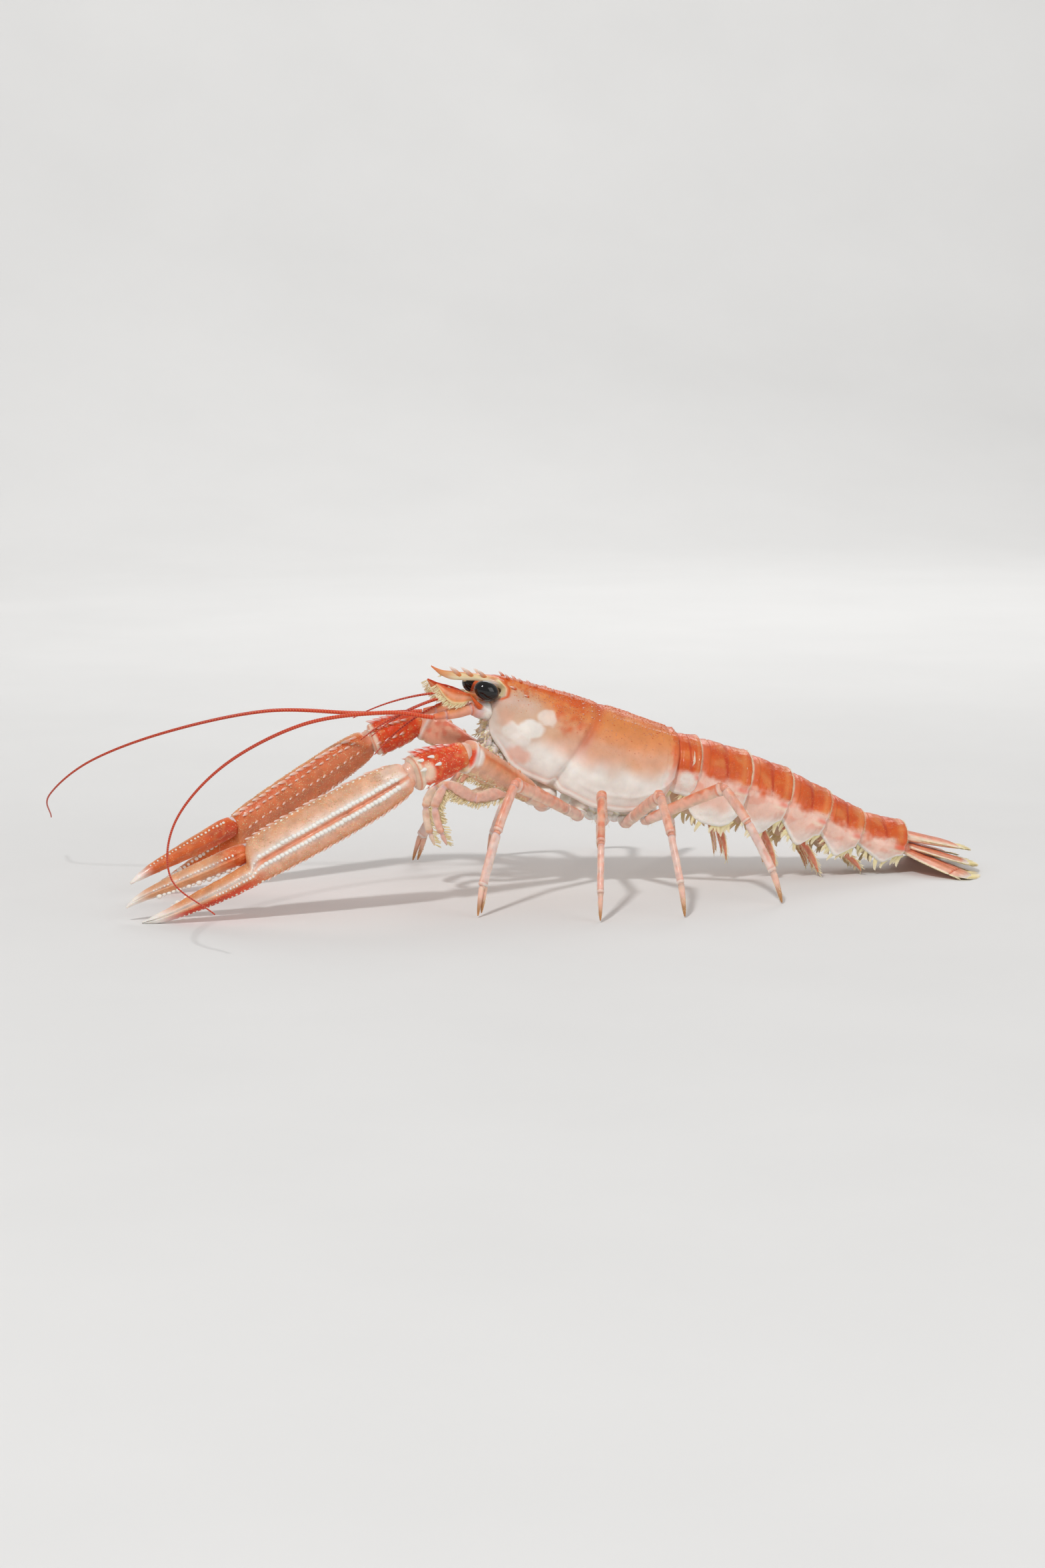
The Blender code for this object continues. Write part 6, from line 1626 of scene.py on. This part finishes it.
def fan():
    """Middle plate and the four side plates of the tail fan, with ribs, teeth and a fringe of hairs."""
    joints, ways = tail_axes()
    hinge = joints[-1] + ways[-1] * 1.2
    outer = FAN["exopod"]
    fall = math.degrees(math.asin((hinge[2] + outer["lift"] - 0.1) / (URO_PLATE[-1][0] * outer["length"])))
    rng = np.random.default_rng(131)

    def make(name, start, along_way, table, across, side, scale, stretch, ribs, cut, squareness, replaced):
        """One plate with its ribs, teeth and fringe."""
        s = np.linspace(0, table[-1][0], 96)
        width, thick = smooth_rows(table, s).T
        sides = 64
        rings = sweep(start + np.outer(s * stretch, along_way), oval(width * scale, thick, sides, squareness), across)
        share = (s / s[-1])[:, None]
        angle = turns(sides)[None]
        wide, over = squared(np.cos(angle), squareness), step(np.sin(angle), 0, 0.5)
        relief = 0.4 * sum(bump(wide, x, 0.08) for x in ribs) - 0.3 * bump(share, cut, 0.014)
        relief = relief + 0.04 * np.sin(wide * 90) * step(share, 0.3, 0.6)
        rings = raise_by(rings, relief * over * step(share, 1, 0.85) + 0.05 * cloud(rings, 2.5, 7))
        skin, hairs, spines = Skin(), Scatter(), Scatter()
        skin.add(rings, fan_paint(rings, share, wide, ribs, cut), 0.25, side)
        rim = np.vstack((rings[24:, sides // 2], rings[-1, sides // 2 - 1:0:-1], rings[:23:-1, 0]))
        rim = smooth_route(rim, 0.1)[0]
        out = unit(np.cross(np.gradient(rim, axis=0), np.cross(along_way, across)))
        out *= np.sign((out * (rim - rings[50].mean(axis=0))).sum(-1, keepdims=True))
        pick = rng.integers(0, len(rim), 700)
        roots, out = rim[pick], out[pick]
        back = ((roots - start) @ along_way / (s[-1] * stretch))[:, None]
        aim = unit(out * 0.7 + along_way * 0.9 + rng.normal(0, 0.06, out.shape))
        aim[:, 2] = np.where(roots[:, 2] > 1.2, aim[:, 2], np.abs(aim[:, 2]) * 0.1)
        long_ = (1.6 + 2.2 * step(back, 0.6, 0.95)) * rng.uniform(0.75, 1, (len(roots), 1))
        hairs.add(roots - out * 0.2, aim, along_way, long_ * (0, 0, 1) + (0.26, 0.1, 0), side)
        ring, columns, size, colour = ((int(cut * 95), np.arange(3, 30, 2), (0.5, 0.4, 0.8), "coral") if cut < 1
                                       else (84, (1, 31), (0.8, 0.6, 2.4), "cream"))
        spines.add(rings[ring, columns], unit(along_way + (0, 0, 0.13)), along_way, size, side, colour)
        skin.make(name, "fin", "fin_rose", replaced)
        comb(hairs, name + "_hairs", "fin_rose", 1.5)
        prickle(spines, name + "_teeth", "fin_rose", 0.2, 6, 0.7)

    make("fan_middle", hinge + (0, 0, 3.4), way(180, TELSON_RISE - fall), TELSON_PLATE, LEVEL, 1, 1, 1,
         (-0.55, -0.2, 0.2, 0.55), 1.2, 3, "telson")
    knobs = Skin()
    for kind, row in FAN.items():
        for name, side in SIDES.items():
            along_way = way(180 - row["out"], row["rise"] - fall)
            start = hinge + np.array((0, row["start"], row["lift"]))
            across = unit((-along_way[1], along_way[0], 0))
            make(f"fan_{kind}_plate_{name}", start, along_way, URO_PLATE, across, side, row["width"], row["length"],
                 row["ribs"], row["cut"], 2.4, f"fan_{kind}_{name}")
            if kind == "exopod":
                joint_skin(knobs, start + (0.3, -0.6, 0.9), unit((1, 0.3, -0.3)), 6, 4.6, side, "back")
    knobs.make("fan_knobs", "limb", "fin_rose")


# Stage, in metres.

FLOOR_SIDE = 4
COVE_START = 1.2
COVE = 0.8
WALL_TOP = 3.5
CAMERA_AIM = (-0.004, 0, 0.04)


def placed(name, data, where=(0, 0, 0), aim=None):
    """A new object in the scene, looking along its aim."""
    made = bpy.data.objects.new(name, data)
    made.location = where
    if aim:
        made.rotation_euler = aim.to_track_quat("-Z", "Y").to_euler()
    bpy.context.scene.collection.objects.link(made)
    return made


def stage(settings):
    """Pale floor that rises into a backdrop, soft studio light and the camera."""
    arc = np.linspace(0.1, math.pi / 2, 16)
    profile = [(-FLOOR_SIDE + 1, 0), (COVE_START, 0), *zip(COVE_START + COVE * np.sin(arc), COVE * (1 - np.cos(arc))),
               (COVE_START + COVE, WALL_TOP)]
    points = [(x, y, z) for y, z in profile for x in (-FLOOR_SIDE, FLOOR_SIDE)]
    faces = [(2 * k, 2 * k + 1, 2 * k + 3, 2 * k + 2) for k in range(len(profile) - 1)]
    mesh = bpy.data.meshes.new("floor")
    mesh.from_pydata(points, [], faces)
    mesh.shade_smooth()
    material, tree, shader = blank("pale wall paint")
    patches = noisy(tree, object_place(tree), 9, 7)
    feed(tree, shader, {"Base Color": blend(tree, patches, (0.765, 0.762, 0.754, 1), (0.825, 0.821, 0.813, 1)),
                        "Roughness": 0.9, "Specular IOR Level": 0.1})
    mesh.materials.append(material)
    placed("floor", mesh)
    for name, where, target, size, power in (
        ("key light", (-1.1, -1.5, 2.3), (0, 0, 0.04), 0.22, 34),
        ("fill light", (2.2, -2.6, 1.4), (0, 0, 0.04), 2.4, 26),
        ("rim light", (0.5, 1, 0.9), (0, 0, 0.04), 0.6, 3),
        ("wall light", (0.5, 0.9, 1.5), (0.4, 2, 0.95), 1.6, 6),
    ):
        lamp = bpy.data.lights.new(name, "AREA")
        lamp.size, lamp.energy = size, power * settings.brightness
        placed(name, lamp, Vector(where), Vector(target) - Vector(where))
    world = bpy.data.worlds.new("studio")
    world.use_nodes = True
    feed(world.node_tree, world.node_tree.nodes["Background"],
         {"Color": (1, 0.99, 0.98, 1), "Strength": 0.43 * settings.brightness})
    bpy.context.scene.world = world
    bpy.context.scene.view_settings.view_transform = "Standard"
    back = Vector(way(-75, 9))
    camera = placed("camera", bpy.data.cameras.new("camera"), Vector(CAMERA_AIM) + back * settings.distance, -back)
    camera.data.lens = settings.lens
    bpy.context.scene.camera = camera


# Panel, pieces and start.

def swatch(name, code, what):
    """A colour of the panel, from its six digit code."""
    return FloatVectorProperty(name=name, description=what, subtype="COLOR", size=3, min=0.0, max=1.0,
                               default=srgb(code))


def factor(name, what, low, high):
    """A factor of the panel that starts at one."""
    return FloatProperty(name=name, description=what, default=1.0, min=low, max=high, subtype="FACTOR")


class LobsterColours(bpy.types.PropertyGroup):
    """Colours of the wet shell."""

    back: swatch("Back", "D85E22", "Back line and tail rings")
    ember: swatch("Ember", "C8441A", "Creases and arcs of the back")
    amber: swatch("Amber", "E18C4E", "Side of the head shield")
    sand: swatch("Sand", "D9B497", "Behind the eye and on the palm")
    blush: swatch("Blush", "EEAC90", "Pink of limbs and side flaps")
    coral: swatch("Coral", "E0734C", "Ribs of the fan")
    ivory: swatch("Ivory", "F6F2EB", "Lower flank, beads and rims")
    cream: swatch("Cream", "F1E4CC", "Mouth, hips and joint rims")
    lilac: swatch("Lilac", "DCC3C8", "Soft skin in the joints")
    flame: swatch("Flame", "E24412", "Carpus and claw edges")
    crimson: swatch("Crimson", "B92C1C", "Long feelers and finger backs")
    straw: swatch("Straw", "F3E6B4", "Hairs and spine roots")
    tan: swatch("Tan", "B98655", "Worn toe tips")
    belly: swatch("Belly", "D9B392", "Thin skin under the tail")
    night: swatch("Night", "020203", "Eye")


class LobsterSizes(bpy.types.PropertyGroup):
    """Sizes of what grows on the shell."""

    bead_size: FloatProperty(name="Bead size", description="Width of the beads along the claws", default=0.002,
                             min=0.0003, max=0.003, precision=5, unit="LENGTH")
    granules: IntProperty(name="Granules", description="Raised granules on the back", default=1500, min=10, max=6000)
    spine_length: factor("Spine length", "Length of the spines, against life", 0.2, 2.0)
    hair_length: factor("Hair length", "Length of the hairs, against life", 0.2, 2.0)
    hair_share: factor("Hair share", "Share of the hairs that are made", 0.05, 1.0)


class LobsterStage(bpy.types.PropertyGroup):
    """Light and camera."""

    brightness: factor("Brightness", "Strength of all the lights", 0.1, 4.0)
    distance: FloatProperty(name="Camera distance", description="From camera to animal", default=1.4,
                            min=0.3, max=5, unit="LENGTH")
    lens: FloatProperty(name="Lens", description="Focal length in millimetres", default=85.0, min=20.0, max=200.0)


class LobsterMakeStage(bpy.types.Operator):
    """Make the pale floor, the studio light and the camera"""

    bl_idname = "lobster.stage"
    bl_label = "Stage"

    def execute(self, context):
        stage(context.scene.lobster_stage)
        return {"FINISHED"}


class LobsterHeadShield(bpy.types.Operator):
    """Make the head shield with its beak, spines and granules"""

    bl_idname = "lobster.head_shield"
    bl_label = "Head Shield"

    def execute(self, context):
        carapace()
        return {"FINISHED"}


class LobsterHeadFloor(bpy.types.Operator):
    """Make the plate under the head with the jaws and palps"""

    bl_idname = "lobster.head_floor"
    bl_label = "Mouth and Floor"

    def execute(self, context):
        head_floor()
        return {"FINISHED"}


class LobsterEyes(bpy.types.Operator):
    """Make both eyes and their stalks"""

    bl_idname = "lobster.eyes"
    bl_label = "Eyes"

    def execute(self, context):
        eyes()
        return {"FINISHED"}


class LobsterFeelers(bpy.types.Operator):
    """Make the short and the long feelers with their scales"""

    bl_idname = "lobster.feelers"
    bl_label = "Feelers"

    def execute(self, context):
        antennules()
        antennae()
        return {"FINISHED"}


class LobsterMouthLegs(bpy.types.Operator):
    """Make the two leg-like limbs of the mouth"""

    bl_idname = "lobster.mouth_legs"
    bl_label = "Mouth Legs"

    def execute(self, context):
        maxillipeds()
        return {"FINISHED"}


class LobsterClaws(bpy.types.Operator):
    """Make both great claws and their arms, with beads, spines and teeth"""

    bl_idname = "lobster.claws"
    bl_label = "Great Claws"

    def execute(self, context):
        for name in SIDES:
            claw_arm(name)
            great_claw(name)
        return {"FINISHED"}


class LobsterWalkingLegs(bpy.types.Operator):
    """Make the eight walking legs"""

    bl_idname = "lobster.walking_legs"
    bl_label = "Walking Legs"

    def execute(self, context):
        for pair in LEGS:
            for name in SIDES:
                walking_leg(pair, name)
        return {"FINISHED"}


class LobsterTail(bpy.types.Operator):
    """Make the six rings of the tail with their flaps and hairs"""

    bl_idname = "lobster.tail"
    bl_label = "Tail Rings"

    def execute(self, context):
        for number in range(1, len(SOMITES) + 1):
            somite(number)
        return {"FINISHED"}


class LobsterSwimmingLegs(bpy.types.Operator):
    """Make the swimming legs under the tail"""

    bl_idname = "lobster.swimming_legs"
    bl_label = "Swimming Legs"

    def execute(self, context):
        for pair in PLEOPODS:
            for name in SIDES:
                pleopod(pair, name)
        return {"FINISHED"}


class LobsterTailFan(bpy.types.Operator):
    """Make the five plates of the tail fan"""

    bl_idname = "lobster.tail_fan"
    bl_label = "Tail Fan"

    def execute(self, context):
        fan()
        return {"FINISHED"}


MAKERS = (LobsterMakeStage, LobsterHeadShield, LobsterHeadFloor, LobsterEyes, LobsterFeelers, LobsterMouthLegs,
          LobsterClaws, LobsterWalkingLegs, LobsterTail, LobsterSwimmingLegs, LobsterTailFan)


class LobsterPanel(bpy.types.Panel):
    """Sizes, colours and pieces of the lobster"""

    bl_idname = "VIEW3D_PT_lobster"
    bl_label = "Norway Lobster"
    bl_space_type = "VIEW_3D"
    bl_region_type = "UI"
    bl_category = "Lobster"

    def draw(self, context):
        for title, settings in (("Sizes", context.scene.lobster_sizes), ("Colours", context.scene.lobster_colours),
                                ("Stage", context.scene.lobster_stage)):
            box = self.layout.box()
            box.label(text=title)
            for key in settings.__annotations__:
                box.prop(settings, key)
        for maker in MAKERS:
            self.layout.operator(maker.bl_idname)


GROUPS = {"lobster_colours": LobsterColours, "lobster_sizes": LobsterSizes, "lobster_stage": LobsterStage}


def register():
    """Adds the settings, the pieces and the panel to Blender."""
    for key, settings in GROUPS.items():
        bpy.utils.register_class(settings)
        setattr(bpy.types.Scene, key, PointerProperty(type=settings))
    for cls in (*MAKERS, LobsterPanel):
        bpy.utils.register_class(cls)


def unregister():
    """Takes them out again."""
    for cls in (LobsterPanel, *reversed(MAKERS)):
        bpy.utils.unregister_class(cls)
    for key, settings in reversed(GROUPS.items()):
        delattr(bpy.types.Scene, key)
        bpy.utils.unregister_class(settings)


def main():
    """Makes every piece."""
    register()
    for maker in MAKERS:
        kind, name = maker.bl_idname.split(".")
        getattr(getattr(bpy.ops, kind), name)()


if __name__ == "__main__":
    main()
